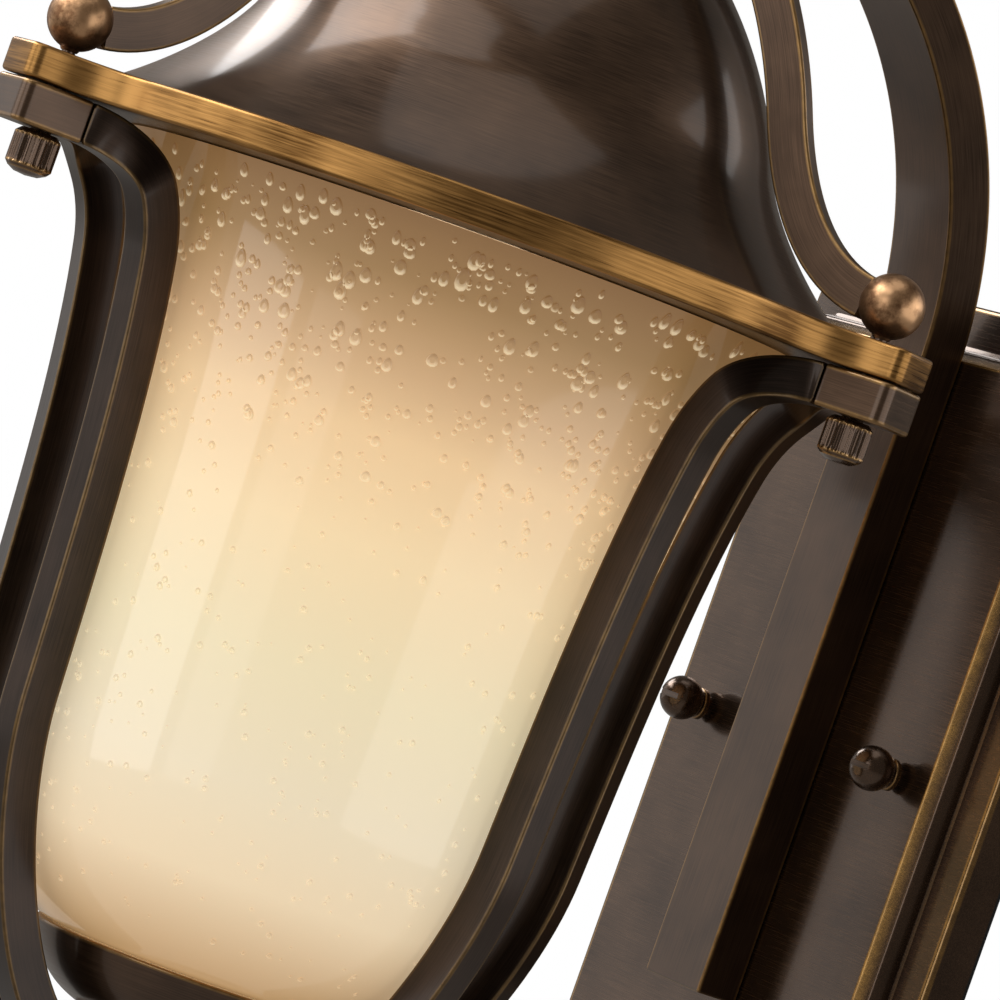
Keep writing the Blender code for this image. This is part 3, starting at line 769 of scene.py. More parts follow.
def make_wall_plate():
    """A pressed pan: side wall, rubbed edge, ledge, cove, brass bevel and raised panel."""
    wall, border, deep = PLATE_WALL, PLATE_BORDER, PLATE_DEPTH
    a = np.radians(np.linspace(90.0, 0.0, 11))
    cove = np.stack([2.0 + 1.5 * np.sin(a), deep - 2.4 - 4.6 * (1.0 - np.cos(a))], axis=1)
    profile = outline(
        (-1.6, deep - wall), (0.9, 14.0), (1.6, 11.2), (border - wall, 10.2), (border - wall, PLATE_BACK),
        (border, PLATE_BACK), (border, 12.0, 1.3), (4.4, 13.0, 0.5), cove, (2.0, deep - 2.4),
        (0.0, deep, 0.5), (-2.0, deep), closed=False,
    )
    on_bevel = (profile[:, 1] > deep - 1.7) & (profile[:, 0] > -0.4)
    by_cove = (profile[:, 1] > 12.9) & (profile[:, 0] < 4.5) & ~on_bevel
    profile[on_bevel, 2] = BEVEL_WEAR
    profile[by_cove, 2] = 0.0
    points = plate_rings(profile[:, 0], profile[:, 1])
    grain = grain_of(run(ringed(points[0]))[None, :], run(profile[:, :2])[:, None])
    surface = Surface(points, profile[:, 2:3], grain)
    add("wall_plate_surface", surface, cast_bronze(), "lantern")


def make_arm():
    """A flat bar up the plate, a quarter circle over to the lantern, and a round end."""
    half = ARM_THICKNESS / 2
    wall_side = -ARM_HIGH[1]
    half_width = ARM_HIGH[0]
    bend = ARM_HIGH[2] - ARM_SPRING - half
    rise = np.linspace(ARM_LOW[2], ARM_SPRING, 16)[:-1]
    turn = np.linspace(0.0, math.pi / 2, 72)
    level = np.linspace(0.0, math.radians(84.0), 16)[1:]
    tip = AXIS_Y - half_width * np.sin(level)
    middle_y = -(wall_side + half)
    centre_y = -(wall_side + half + bend)
    y = np.concatenate([np.full(len(rise), middle_y), centre_y + bend * np.cos(turn), tip])
    z = np.concatenate([rise, ARM_SPRING + bend * np.sin(turn), np.full(len(tip), ARM_SPRING + bend)])
    lean = np.concatenate([np.zeros(len(rise)), turn, np.full(len(tip), math.pi / 2)])
    squeeze = np.concatenate([np.ones(len(rise) + len(turn)), np.cos(level)])
    path = np.stack([np.zeros_like(y), y, z], axis=1)
    wide = np.tile([1.0, 0.0, 0.0], (len(path), 1))
    deep = np.stack([np.zeros_like(lean), np.cos(lean), np.sin(lean)], axis=1)
    section = bar_section(2 * half_width, ARM_THICKNESS, sizes().bar_edge / MM)
    bar = sweep(path, wide, deep, section, 0.5, squeeze)
    add("arm_surface", bar, brushed_bronze(), "lantern")


# --------------------------------------------------------------- roof and crown


def roof_line():
    """Outer side of the bell roof: a flared foot and a dome of one radius."""
    foot = FLANGE_HIGH[2] + 0.5
    flare = bezier((89.0, foot), (79.0, 97.5), (66.0, 110.0), ROOF_WAIST, 22)
    start = math.degrees(math.atan2(ROOF_WAIST[1] - DOME_CENTRE[1], ROOF_WAIST[0] - DOME_CENTRE[0]))
    end = math.degrees(math.acos((CROWN_HOLE - DOME_CENTRE[0]) / DOME_RADIUS))
    return chain(flare, arc(*DOME_CENTRE, DOME_RADIUS, start, end, 30))


def make_roof():
    """Spun shell: outer line, crown hole, inner line and a folded foot, turned about the axis."""
    outer = roof_line()
    inner = beside(outer, -ROOF_SHEET)[1:-1][::-1]
    top = span("roof")[1][2]
    bore = STEM_BORE_RADIUS
    profile = outline(
        outer, (CROWN_HOLE, top), (bore, top), (bore, top - ROOF_SHEET), (CROWN_HOLE, top - 3.4), inner,
        (outer[0, 0] - 2.6, outer[0, 1]),
    )
    add("roof_surface", revolve(profile, 160).moved(on_axis), brushed_bronze(), "lantern")


def make_crown():
    """Turned hub between roof and arm, and the ball finial over the arm with a bore for the stem."""
    edge = sizes().turned_edge / MM
    low, high = span("crown_hub")
    r = high[0]
    bore = STEM_BORE_RADIUS
    hub = outline(
        (bore, low[2]), (10.5, low[2], edge), (r - 0.8, low[2] + 1.8, edge), (r, low[2] + 3.4, edge),
        (r, high[2] - 3.6, edge), (r - 0.8, high[2] - 2.0, edge), (10.5, high[2], edge), (bore, high[2]),
    )
    add("crown_hub_surface", revolve(hub, 96).moved(on_axis), brushed_bronze(), "lantern")
    low, high = span("top_finial")
    ball_radius = 8.6
    seat, centre = low[2], high[2] - ball_radius
    ball = arc(0.0, centre, ball_radius, -58.0, 90.0, 26)
    ball[-1, 0] = 0.0
    room = span("hanger_stem")[1][2] + 1.0
    finial = outline(
        (0.0, room), (bore, room), (bore, seat), (11.0, seat, edge), (11.0, seat + 2.6, edge),
        (7.6, seat + 4.4, edge), (6.2, seat + 7.4, edge), ball, closed=False,
    )
    add("top_finial_surface", revolve(finial, 96).moved(on_axis), brushed_bronze(), "top_finial")


# ------------------------------------------------------------ flange and scrolls


def flange_plan():
    """Plan of the flange about the axis: a disc with three ears that run into it by fillets."""
    w = EAR_HALF_WIDTH
    ear_end = AXIS_Y - FLANGE_LOW[1]
    reach = math.sqrt((FLANGE_DISC + EAR_FILLET) ** 2 - (w + EAR_FILLET) ** 2)
    meet = math.degrees(math.atan2(w + EAR_FILLET, reach))
    tip = arc(ear_end - EAR_CORNER, w - EAR_CORNER, EAR_CORNER, 0.0, 90.0, 8)
    foot = arc(reach, w + EAR_FILLET, EAR_FILLET, -90.0, meet - 180.0, 8)
    half = np.concatenate([tip, foot])
    ear = np.concatenate([half[::-1] * [1.0, -1.0], half])
    rim = arc(0.0, 0.0, FLANGE_DISC, meet, 120.0 - meet, 40)[1:-1]
    third = np.concatenate([ear, rim])
    turns = [math.radians(angle) for angle in LUG_ANGLES]
    return np.concatenate([
        third @ np.array([[math.cos(a), math.sin(a)], [-math.sin(a), math.cos(a)]]) for a in turns
    ])


def soft_levels(low, high, radius, corner_wear, side_wear):
    """Rows of inset, height and wear up the edge of a flat piece, both corners rounded."""
    a = np.radians(np.linspace(0.0, 90.0, 5))
    bend = [radius * (1 - np.sin(a)), low + radius * (1 - np.cos(a)), np.full_like(a, corner_wear)]
    lower = np.stack(bend, axis=1)
    upper = lower[::-1] * [1.0, -1.0, 1.0] + [0.0, low + high, 0.0]
    face = radius + 1.2
    reach = radius + WEAR_REACH
    sides = [[0.0, low + reach, side_wear], [0.0, high - reach, side_wear]]
    return np.concatenate([[[face, low, 0.0]], lower, sides, upper, [[face, high, 0.0]]])


def make_flange():
    """Disc and ears stacked from rings of the plan; its rim is brass and its faces bronze."""
    levels = soft_levels(FLANGE_LOW[2], FLANGE_HIGH[2], 0.9, 1.0, 1.0)
    flange = stacked(flange_plan(), levels, (0.0, 0.0), FLANGE_BORE)
    add("flange_surface", flange.moved(on_axis), antique_brass(), "lantern")


def upright_bar(line, section, end):
    """A bar along (radius, height) points in the upright plane through +X."""
    path = np.stack([line[:, 0], np.zeros(len(line)), line[:, 1]], axis=1)
    along = unit(np.gradient(path, axis=0))
    wide = np.tile([0.0, 1.0, 0.0], (len(path), 1))
    return sweep(path, wide, np.cross(along, wide), section, end)


def make_scrolls():
    """Three S-shaped bars from the balls up to the crown, with the balls and their studs."""
    rise = bezier((104.3, BALL_CENTRE), (87.0, 100.7), (76.1, 116.9), SCROLL_KNEE, 26)
    crown = span("crown_hub")[1][0] + 1.5
    fall = bezier(SCROLL_KNEE, (59.3, 156.4), (40.2, 181.4), (crown, 185.0), 30)
    section = bar_section(*SCROLL_SECTION, sizes().bar_edge / MM)
    top = FLANGE_HIGH[2] + 0.3
    ball = arc(0.0, BALL_CENTRE, BALL_RADIUS, -72.0, 90.0, 30)
    ball[-1, 0] = 0.0
    ball_profile = outline(
        (0.0, BALL_CENTRE - 0.8), (STUD_BORE, BALL_CENTRE - 0.8), (1.7, BALL_CENTRE - 4.0),
        (1.7, top + 0.4), (1.9, top + 0.4), ball, closed=False,
    )
    foot, tip = span("lug_stud_1")[0][2], BALL_CENTRE - 3.0
    stud = [
        (0.0, foot), (2.1, foot), (2.5, foot + 0.6), (2.5, top - 0.3), (1.6, top - 0.1),
        (1.6, BALL_CENTRE - 4.2), (1.2, tip), (0.0, tip),
    ]
    for i, angle in enumerate(LUG_ANGLES, 1):
        bar = upright_bar(chain(rise, fall), section, 0.6).moved(turned_to(angle))
        add(f"scroll_{i}_surface", bar, brushed_bronze(), "lantern")
        place = at_lug(angle)
        turned = revolve(ball_profile, 64).moved(place)
        add(f"scroll_ball_{i}_surface", turned, rubbed_copper(), "lantern")
        turned = revolve(stud, 32).moved(place)
        add(f"lug_stud_{i}_surface", turned, cast_bronze(), "lantern")


# ------------------------------------------------------------------------- cage


def lug_plan():
    """Plan of a lug drawn along +X: square towards the glass, rounded outer corners."""
    inner = AXIS_Y - LUG_HIGH[1]
    outer = AXIS_Y - LUG_LOW[1]
    w = (LUG_HIGH[0] - LUG_LOW[0]) / 2
    plan = outline((inner, -w, 0.5), (outer, -w, 2.6), (outer, w, 2.6), (inner, w, 0.5))[:, :2]
    sides = np.linspace(0.0, 1.0, 5)[1:-1, None]
    gaps = []
    for first, second in zip(plan, np.roll(plan, -1, axis=0)):
        gaps.append(first[None])
        if np.linalg.norm(second - first) > 4.0:
            gaps.append(first + (second - first) * sides)
    return np.concatenate(gaps)


def strap_line():
    """Middle line of a strap as (radius, height): over the lip, down the bell and under it."""
    start = AXIS_Y - LUG_HIGH[1] - 0.3
    level = (LUG_LOW[2] + LUG_HIGH[2]) / 2
    hub = span("bottom_hub")[1][0] + 2.2
    over = bezier((start, level), (91.7, level), (84.5, 65.5), (82.0, 54.0), 26)
    down = bezier((82.0, 54.0), (76.2, 26.6), (74.4, -10.0), (72.6, -45.0), 18)
    under = bezier((72.6, -45.0), (71.3, -73.5), (51.0, -116.0), (hub, -121.0), 30)
    return chain(over, down, under)


def strap(side):
    """One strap about the +X lug: its angle from the lug grows as it leaves, then stays."""
    line = strap_line()
    start = line[0, 0]
    t = np.clip((start - line[:, 0]) / (start - STRAP_SPLAY_END), 0.0, 1.0)
    close, apart = STRAP_ANGLES
    angle = side * np.radians(close + (apart - close) * t * t * (3.0 - 2.0 * t))
    path = np.stack([line[:, 0] * np.cos(angle), line[:, 0] * np.sin(angle), line[:, 1]], axis=1)
    along = np.gradient(path, axis=0)
    along[0] = (-1.0, 0.0, 0.0)
    wide = np.stack([-np.sin(angle), np.cos(angle), 0.0 * angle], axis=1)
    deep = unit(np.cross(wide, unit(along)))
    section = bar_section(*STRAP_SECTION, sizes().bar_edge / MM)
    return sweep(path, wide, deep, section, 0.4)


def make_cage():
    """Lugs, paired straps, the bottom hub and the dish under the glass."""
    edge = sizes().turned_edge / MM
    for i, angle in enumerate(LUG_ANGLES, 1):
        levels = soft_levels(LUG_LOW[2], LUG_HIGH[2], 0.8, 0.8, 0.0)
        lug = stacked(lug_plan(), levels, (SCREW_RADIUS, 0.0), STUD_BORE)
        add(f"lug_{i}_surface", lug.moved(turned_to(angle)), brushed_bronze(), "cage")
        for side, letter in ((-1, "a"), (1, "b")):
            bar = strap(side).moved(turned_to(angle))
            add(f"strap_{i}{letter}_surface", bar, strap_bronze(), "cage")
    low, high = span("bottom_hub")
    r = high[0]
    hub = outline(
        (3.6, low[2]), (r - 6.0, low[2], edge), (r - 0.8, low[2] + 1.4, edge), (r, low[2] + 2.6, edge),
        (r, high[2] - 2.6, edge), (r - 2.4, high[2], edge), (3.6, high[2]),
    )
    add("bottom_hub_surface", revolve(hub, 120).moved(on_axis), brushed_bronze(), "cage")
    rim = GLASS_LOW[2] - 0.3
    bowl = bezier((40.6, rim), (37.5, -106.0), (29.0, -111.6), (15.0, -112.0), 26)
    floor = bowl[-1, 1]
    hollow = beside(bowl, 2.0)[1:-1][::-1]
    dish = outline(
        (bowl[0, 0] - 4.0, rim), (bowl[0, 0], rim, 0.5), bowl[2:], (3.6, floor), (3.6, floor + 2.0),
        (15.0, floor + 2.0), hollow,
    )
    add("bottom_dish_surface", revolve(dish, 120).moved(on_axis), brushed_bronze(), "cage")


# ------------------------------------------------------------------------ glass


def glass_line():
    """Outer side of the bell glass, from its flared lip down to its turned-in foot."""
    lip = bezier((LIP_RADIUS, GLASS_HIGH[2]), (76.5, 71.0), (73.6, 52.0), (70.4, 30.0), 30)
    belly = bezier((70.4, 30.0), (67.6, 8.0), (67.0, -20.0), (65.2, -46.0), 24)
    shoulder = bezier((65.2, -46.0), (64.0, -68.0), (58.0, -84.0), (40.0, GLASS_LOW[2]), 36)
    return chain(lip, belly, shoulder)


def make_glass():
    """A bell shell: outer line, cut foot, inner line and ground lip, turned about the axis."""
    outer = glass_line()
    inner = beside(outer, GLASS_WALL)[1:-1][::-1]
    profile = outline(
        (outer[0, 0] - GLASS_WALL, GLASS_HIGH[2]), outer,
        (outer[-1, 0] - GLASS_WALL, GLASS_LOW[2]), inner,
    )
    bell = revolve(profile, 240).moved(on_axis)
    add("glass_shade_surface", bell, seeded_glass(), "cage")


# Rings of a bubble from its rim to its middle: share of its size, of its height and of its painted
# highlight and shade.
SEED_RINGS = np.array([
    (1.0, -0.6, 0.0), (0.90, 0.6, 0.8), (0.74, 1.0, 1.0), (0.52, 0.30, 0.5), (0.26, -0.30, 0.1),
])
SEED_SIDES = 12
SEED_ROOT, SEED_HOLLOW = -0.45, -0.12


def scatter_seeds(name, seed, top, foot, crowding, widths, stretch_most, painted_light_scale):
    """Bubbles in the glass: each a shallow drop with a raised rim round a hollow.

    A drop's point is at height l p sin f and turned by w p cos f (1 - 0.3 sin f) / R round
    the bell of radius R, where p runs from the rim to the middle, f round the drop, and l
    and w are its half length and half width. Heights are top - (top - foot) u^crowding. The
    attribute that the bubble glass reads is -sin f on the rim: a painted highlight on a
    drop's lower side and painted shade on its upper side, standing in for light bent by a bubble.
    """
    chance = np.random.default_rng(seed)
    count = sizes().seeds
    share = chance.random(count) ** crowding
    height = top - (top - foot) * share
    turn = math.tau * chance.random(count)
    width = widths[0] + (widths[1] - widths[0]) * chance.random(count) ** 1.8 * (1.0 - 0.35 * share)
    reach = width * (1.0 + stretch_most * chance.random(count) * (1.0 - share))

    line = glass_line()[::-1]
    f = math.tau * np.arange(SEED_SIDES) / SEED_SIDES
    p, rise, glow = (column[None, :, None] for column in SEED_RINGS.T)
    rise = rise * sizes().seed_height / MM
    up = reach[:, None, None] * p * np.sin(f)
    side = width[:, None, None] * p * np.cos(f) * (1.0 - 0.30 * np.sin(f))
    z = height[:, None, None] + up
    bell = np.interp(z, line[:, 1], line[:, 0])
    a = turn[:, None, None] + side / bell
    r = bell + rise * np.clip(width / 0.6, 0.5, 1.3)[:, None, None]
    drops = np.stack([r * np.cos(a), r * np.sin(a), z + 0.0 * a], axis=-1)

    middle_radius = np.interp(height, line[:, 1], line[:, 0])[:, None] + [SEED_ROOT, SEED_HOLLOW]
    arms = middle_radius * np.cos(turn)[:, None], middle_radius * np.sin(turn)[:, None]
    middles = np.stack([*arms, height[:, None] + 0.0 * middle_radius], axis=-1)
    # Strength of each bubble's painted highlight and shade, fading down the bell.
    strength = painted_light_scale * (1.0 - 0.45 * share)[:, None, None]
    lit = -np.sin(f) * glow * strength

    rim = len(SEED_RINGS) * SEED_SIDES
    index = np.arange(rim).reshape(-1, SEED_SIDES)
    ring = np.concatenate([index, index[:, :1]], axis=1)
    under = np.stack([ring[0, 1:], ring[0, :-1], np.full(SEED_SIDES, rim)], axis=1)
    over = np.stack([ring[-1, :-1], ring[-1, 1:], np.full(SEED_SIDES, rim + 1)], axis=1)
    shift = (np.arange(count) * (rim + 2))[:, None, None]
    quads = (cells(ring).reshape(-1, 4)[None] + shift).reshape(-1, 4)
    fans = (np.concatenate([under, over])[None] + shift).reshape(-1, 3)
    points = np.concatenate([drops.reshape(count, rim, 3), middles], axis=1).reshape(-1, 3)
    painted_light_shade = np.concatenate([lit.reshape(count, rim), np.zeros((count, 2))], axis=1)

    mesh = bpy.data.meshes.new(name)
    mesh.from_pydata((on_axis(points) * MM).tolist(), [], quads.tolist() + fans.tolist())
    layer = mesh.attributes.new("Glint", "FLOAT", "POINT")
    layer.data.foreach_set("value", painted_light_shade.ravel().astype(np.float32))
    mesh.shade_smooth()
    mesh.materials.append(bubble_glass())
    piece = put(name, mesh)
    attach(piece, "cage")


def make_seeds():
    """Large drops crowd under the lip; small ones are scattered down the bell."""
    top, foot = GLASS_HIGH[2] - 3.0, GLASS_LOW[2] + 8.0
    # The last number is how strong the bubbles' painted highlight and shade are.
    scatter_seeds("glass_seeds_lip", 17, top, 18.0, 1.25, (0.50, 1.75), 0.9, 1.2)
    scatter_seeds("glass_seeds_bell", 41, top, foot, 1.0, (0.35, 1.05), 0.3, 0.85)


# -------------------------------------------------------------------- fasteners


def make_thumb_nuts():
    """Fluted nuts: radius less depth (1 - cos(n a)) / 2 between the chamfers, with a domed foot."""
    low, high = span("thumb_nut_1")
    r = (high[0] - low[0]) / 2
    top, foot = high[2], low[2]
    depth, flutes = sizes().flute_depth / MM, sizes().flutes
    hole_end = top - 7.4
    profile = outline(
        (0.0, hole_end), (STUD_BORE, hole_end), (STUD_BORE, top), (r - 1.3, top, 0.3),
        (r, top - 1.2, 0.4), (r, foot + 2.2, 0.3), (r - 0.9, foot + 1.2, 0.3), (r - 2.6, foot + 0.3),
        (0.0, foot), closed=False,
    )

    def fluted(radius, angle, height):
        fade = 0.8
        under_top = np.clip((top - 0.8 - height) / fade, 0.0, 1.0)
        over_foot = np.clip((height - foot - 1.8) / fade, 0.0, 1.0)
        cut = under_top * over_foot * depth * (1.0 - np.cos(flutes * angle)) / 2
        return radius - np.where(radius > STUD_BORE + 1.2, cut, 0.0)

    dense = densified(profile, 0.8)
    for i, angle in enumerate(LUG_ANGLES, 1):
        nut = revolve(dense, flutes * 8, fluted).moved(at_lug(angle))
        add(f"thumb_nut_{i}_surface", nut, cast_bronze(), f"thumb_nut_{i}")


def densified(profile, step):
    """The profile with points added so that no two are further apart than the step."""
    far = np.linalg.norm(np.diff(profile[:, :2], axis=0), axis=1)
    parts = [
        first + (second - first) * np.linspace(0.0, 1.0, max(2, math.ceil(gap / step) + 1))[:-1, None]
        for first, second, gap in zip(profile, profile[1:], far)
    ]
    return np.concatenate(parts + [profile[-1:]])


def carved(piece, low, high):
    """Cuts a box out of a piece and keeps the cut mesh."""
    corners = np.array(list(itertools.product(*zip(low, high))))
    faces = [(0, 1, 3, 2), (4, 6, 7, 5), (0, 4, 5, 1), (2, 3, 7, 6), (0, 2, 6, 4), (1, 5, 7, 3)]
    mesh = bpy.data.meshes.new("slot_box")
    mesh.from_pydata((corners * MM).tolist(), [], faces)
    box = put("slot_box", mesh)
    modifier = piece.modifiers.new("slot", "BOOLEAN")
    modifier.operation = "DIFFERENCE"
    modifier.object = box
    bpy.context.view_layer.update()
    cut = bpy.data.meshes.new_from_object(piece.evaluated_get(bpy.context.evaluated_depsgraph_get()))
    piece.modifiers.clear()
    piece.data = cut
    cut.set_sharp_from_angle(angle=SHARP_ANGLE)
    bpy.data.objects.remove(box)


def make_cap_nuts():
    """Slotted ball nuts on their collars, turned about axes that run out from the wall."""
    for side, word in ((-1, "left"), (1, "right")):
        low, high = span(f"cap_nut_{word}")
        r = (high[0] - low[0]) / 2
        face, back = -low[1], -high[1]
        centre = face - r
        ball = arc(0.0, centre, r, -52.0, 90.0, 26)
        ball[-1, 0] = 0.0
        hole_end, collar = centre + 1.2, 3.9
        profile = outline(
            (0.0, hole_end), (STUD_BORE, hole_end), (STUD_BORE, back), (collar, back, 0.3),
            (collar, ball[0, 1] - 0.4, 0.3), ball, closed=False,
        )
        x = side * NUT_TURN_X
        nut = revolve(profile, 72).moved(from_wall(x, middle(f"cap_nut_{word}", 2)))
        piece = add(f"cap_nut_{word}_surface", nut, cast_bronze(), f"cap_nut_{word}")
        slot_width, slot_depth = 1.4, 1.7
        low = x - 8.0, -face - 1.0, -slot_width / 2
        carved(piece, low, (x + 8.0, -face + slot_depth, slot_width / 2))


def make_bottom_finial():
    """Screw, collar, ball and tip under the hub, turned in one piece."""
    low, high = span("bottom_finial")
    seat = span("bottom_hub")[0][2] - 0.3
    centre = seat - 14.2
    edge = sizes().turned_edge / MM
    ball = arc(0.0, centre, 7.6, 62.0, -70.0, 26)
    profile = outline(
        (0.0, high[2]), (3.0, high[2], 0.4), (3.0, seat), (9.0, seat, edge), (9.0, seat - 2.4, edge),
        (5.2, seat - 4.2, 0.5), ball, (2.2, centre - 8.0), (2.6, centre - 9.4, 0.4),
        (1.6, centre - 11.0, 0.3), (0.0, low[2]), closed=False,
    )
    finial = revolve(profile, 96).moved(on_axis)
    add("bottom_finial_surface", finial, brushed_bronze(), "bottom_finial")


# ------------------------------------------------------------------------- lamp


def make_lamp():
    """Porcelain holder, and a bulb in it.

    The bulb's brass cap has a rolled thread: r + a (sin(2 pi z / p - angle) - 1), for the
    pitch p and the relief a.
    """
    low, high = span("lamp_socket")
    r, mouth, top = high[0], low[2], high[2]
    bore, floor = 13.9, 112.0
    holder = outline(
        (bore, mouth, 0.4), (r, mouth, 0.9), (r, 118.0, 0.6), (r - 3.0, 122.0, 0.6), (r - 3.0, top, 1.6),
        (STEM_BORE_RADIUS, top, 0.3), (STEM_BORE_RADIUS, floor), (bore, floor),
    )
    holder = revolve(holder, 96).moved(on_axis)
    add("lamp_socket_surface", holder, glazed_porcelain(), "lantern")
    low, high = span("bulb_base")
    b, cap_low, cap_high = high[0], low[2], high[2]
    cap = densified(outline(
        (0.0, cap_low), (b - 0.2, cap_low, 0.3), (b - 0.2, cap_high - 6.0, 0.4),
        (b - 4.5, cap_high - 2.4, 0.4), (4.5, cap_high, 0.4), (0.0, cap_high), closed=False,
    ), 0.45)
    pitch, thread_depth, fade = 3.6, 0.45, 1.5

    def threaded(radius, angle, height):
        start = np.clip((height - cap_low - fade) / fade, 0.0, 1.0)
        stop = np.clip((cap_high - 6.5 - height) / fade, 0.0, 1.0)
        wave = np.sin(math.tau * height / pitch - angle) - 1.0
        return radius + np.where(radius > b - 1.5, start * stop * thread_depth * wave, 0.0)

    add("bulb_base_surface", revolve(cap, 72, threaded).moved(on_axis), cap_brass(), "bulb")
    low, high = span("bulb_glass")
    globe_radius = high[0] - 0.02
    centre = low[2] + globe_radius
    neck = bezier((12.6, high[2]), (13.4, 70.0), (20.0, 60.0), (25.6, centre + 15.6), 20)
    globe = arc(0.0, centre, globe_radius, 31.3, -90.0, 36)
    globe[-1, 0] = 0.0
    bulb = np.concatenate([[(0.0, high[2])], neck, globe[1:]])
    add("bulb_glass_surface", revolve(bulb, 96).moved(on_axis), frosted_bulb(), "bulb")


def dress(nodes, material):
    """Gives frame nodes that keep their own shape a finish."""
    for name in nodes:
        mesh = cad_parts[name].data
        mesh.materials.clear()
        mesh.materials.append(material)


def dress_small_parts():
    """Finishes for the studs, screws, nuts, seals and bracket, whose shapes stay as they are."""
    zinc_plated = ["crossbar", "arm_screw_upper", "arm_screw_lower", "hanger_stem", "stem_nut", "dish_nut"]
    dress(["mounting_stud_left", "mounting_stud_right"], cast_bronze())
    dress(zinc_plated, zinc_plate())
    dress(["wall_gasket", "glass_gasket"], foam_rubber())
    dress(["ground_screw"], earth_green())
    dress(["socket_contact"], cap_brass())


# ------------------------------------------------------------------------ stage

CAMERA_AZIMUTH = 61.0
CAMERA_DISTANCE = 1.550
CAMERA_HEIGHT = 0.0159
CAMERA_YAW = 1.03
CAMERA_PITCH = 0.51
CAMERA_ROLL = 19.54
CAMERA_LENS = 243.4


def make_camera():
    """Camera beside the lantern, level with the bell and rolled to one side."""
    a = math.radians(CAMERA_AZIMUTH)
    centre = Vector((0.0, AXIS_Y * MM, 0.0))
    place = centre + Vector((math.sin(a), -math.cos(a), 0.0)) * CAMERA_DISTANCE
    place.z = CAMERA_HEIGHT
    forward = Vector((-math.sin(a), math.cos(a), 0.0))
    forward.rotate(Matrix.Rotation(math.radians(-CAMERA_YAW), 3, "Z"))
    pitch = math.radians(CAMERA_PITCH)
    forward = forward * math.cos(pitch) + Vector((0.0, 0.0, math.sin(pitch)))
    right = forward.cross(Vector((0.0, 0.0, 1.0))).normalized()
    up = right.cross(forward)
    roll = math.radians(CAMERA_ROLL)
    camera_right = right * math.cos(roll) + up * math.sin(roll)
    camera_up = up * math.cos(roll) - right * math.sin(roll)
    data = bpy.data.cameras.new("camera")
    data.lens = CAMERA_LENS
    camera = put("camera", data)
    turn = Matrix((camera_right, camera_up, -forward)).transposed().to_4x4()
    camera.matrix_world = Matrix.Translation(place) @ turn
    bpy.context.scene.camera = camera


# Soft boxes: what each lights, its angle from +X and its elevation in degrees, its distance,
# width and height in metres, and its brightness per area.
SOFT_BOXES = {
    "sky_left": ("metal", -160.0, 30.0, 1.7, 0.90, 0.55, 7.5),
    "sky_front": ("metal", -122.0, 38.0, 1.7, 1.50, 0.80, 7.0),
    "sky_middle": ("metal", -74.0, 45.0, 1.7, 1.00, 0.65, 2.0),
    "sky_right": ("metal", 70.0, 26.0, 1.7, 1.50, 0.80, 1.6),
    "wall_left": ("metal", -153.0, 0.0, 1.7, 1.10, 1.00, 0.66),
    "fill_front": ("metal", -64.0, 4.0, 1.7, 0.90, 1.20, 1.7),
    "trim_right": ("trim", 38.0, 6.0, 1.8, 2.40, 1.40, 1.3),
    "trim_left": ("trim", -108.0, 4.0, 1.7, 1.20, 1.00, 1.9),
    "glass_left": ("glass", -92.0, 10.0, 1.7, 0.95, 1.70, 1.6),
    "glass_left_far": ("glass", -62.0, 10.0, 1.7, 0.60, 1.70, 0.6),
    "glass_right": ("glass", 27.0, 8.0, 1.9, 1.80, 1.60, 0.9),
    "floor_light": ("floor", -60.0, 84.0, 2.2, 2.60, 2.60, 1.5),
    "overhead": ("metal", -60.0, 80.0, 1.5, 1.10, 1.10, 0.9),
    "overhead_glass": ("glass", -60.0, 80.0, 1.5, 1.10, 1.10, 1.8),
}
TRIM = ("flange", "scroll", "lug", "strap", "thumb_nut")
LIGHTS_AIM = 0.02
FLOOR_REACH, FLOOR_DROP = 2.6, 0.55


def softbox(name, lit, angle, elevation, distance, width, height, brightness):
    """A soft light round the lantern that falls only on the lit pieces.

    Flags in a studio keep a light off the other pieces in the same way.
    """
    a, e = math.radians(angle), math.radians(elevation)
    out = Vector((math.cos(a) * math.cos(e), math.sin(a) * math.cos(e), math.sin(e)))
    data = bpy.data.lights.new(name, "AREA")
    data.shape = "RECTANGLE"
    data.size, data.size_y = width, height
    data.energy = brightness * math.pi * width * height
    light = put(name, data)
    receivers = bpy.data.collections.new(name + "_lit")
    for piece in lit:
        receivers.objects.link(piece)
    light.light_linking.receiver_collection = receivers
    light.location = Vector((0.0, AXIS_Y * MM, LIGHTS_AIM)) + out * distance
    light.rotation_euler = out.to_track_quat("Z", "Y").to_euler()
    light.visible_camera = False


def make_floor():
    """Pale painted floor, well below the lantern."""

    def inputs(material, place):
        tone = patches(material, place, 400.0)
        base = blend(material, tone, (0.3, 0.7), tint("#e9e7e4"), tint("#f1f0ee"))
        return {"Base Color": base, "Roughness": 0.7}

    r = FLOOR_REACH
    sides = ((-r, -r), (r, -r), (r, r), (-r, r))
    corners = [(x, y + AXIS_Y * MM, -FLOOR_DROP) for x, y in sides]
    mesh = bpy.data.meshes.new("floor")
    mesh.from_pydata(corners, [], [(0, 1, 2, 3)])
    mesh.materials.append(finish("pale_floor", inputs))
    floor = put("floor", mesh)
    return floor


def make_surroundings():
    """Dim warm surroundings, and a white backdrop where the camera sees past the lantern."""
    world = bpy.data.worlds.new("studio")
    bpy.context.scene.world = world
    world.use_nodes = True
    world.node_tree.nodes.clear()
    seen = node(world, "ShaderNodeLightPath", output="Is Camera Ray")
    around = node(world, "ShaderNodeBackground", {0: tint("#e8ded2"), 1: 0.20})
    backdrop = node(world, "ShaderNodeBackground", {0: tint("#ffffff"), 1: 1.0})
    mix = node(world, "ShaderNodeMixShader", {0: seen, 1: around, 2: backdrop})
    node(world, "ShaderNodeOutputWorld", {0: mix})


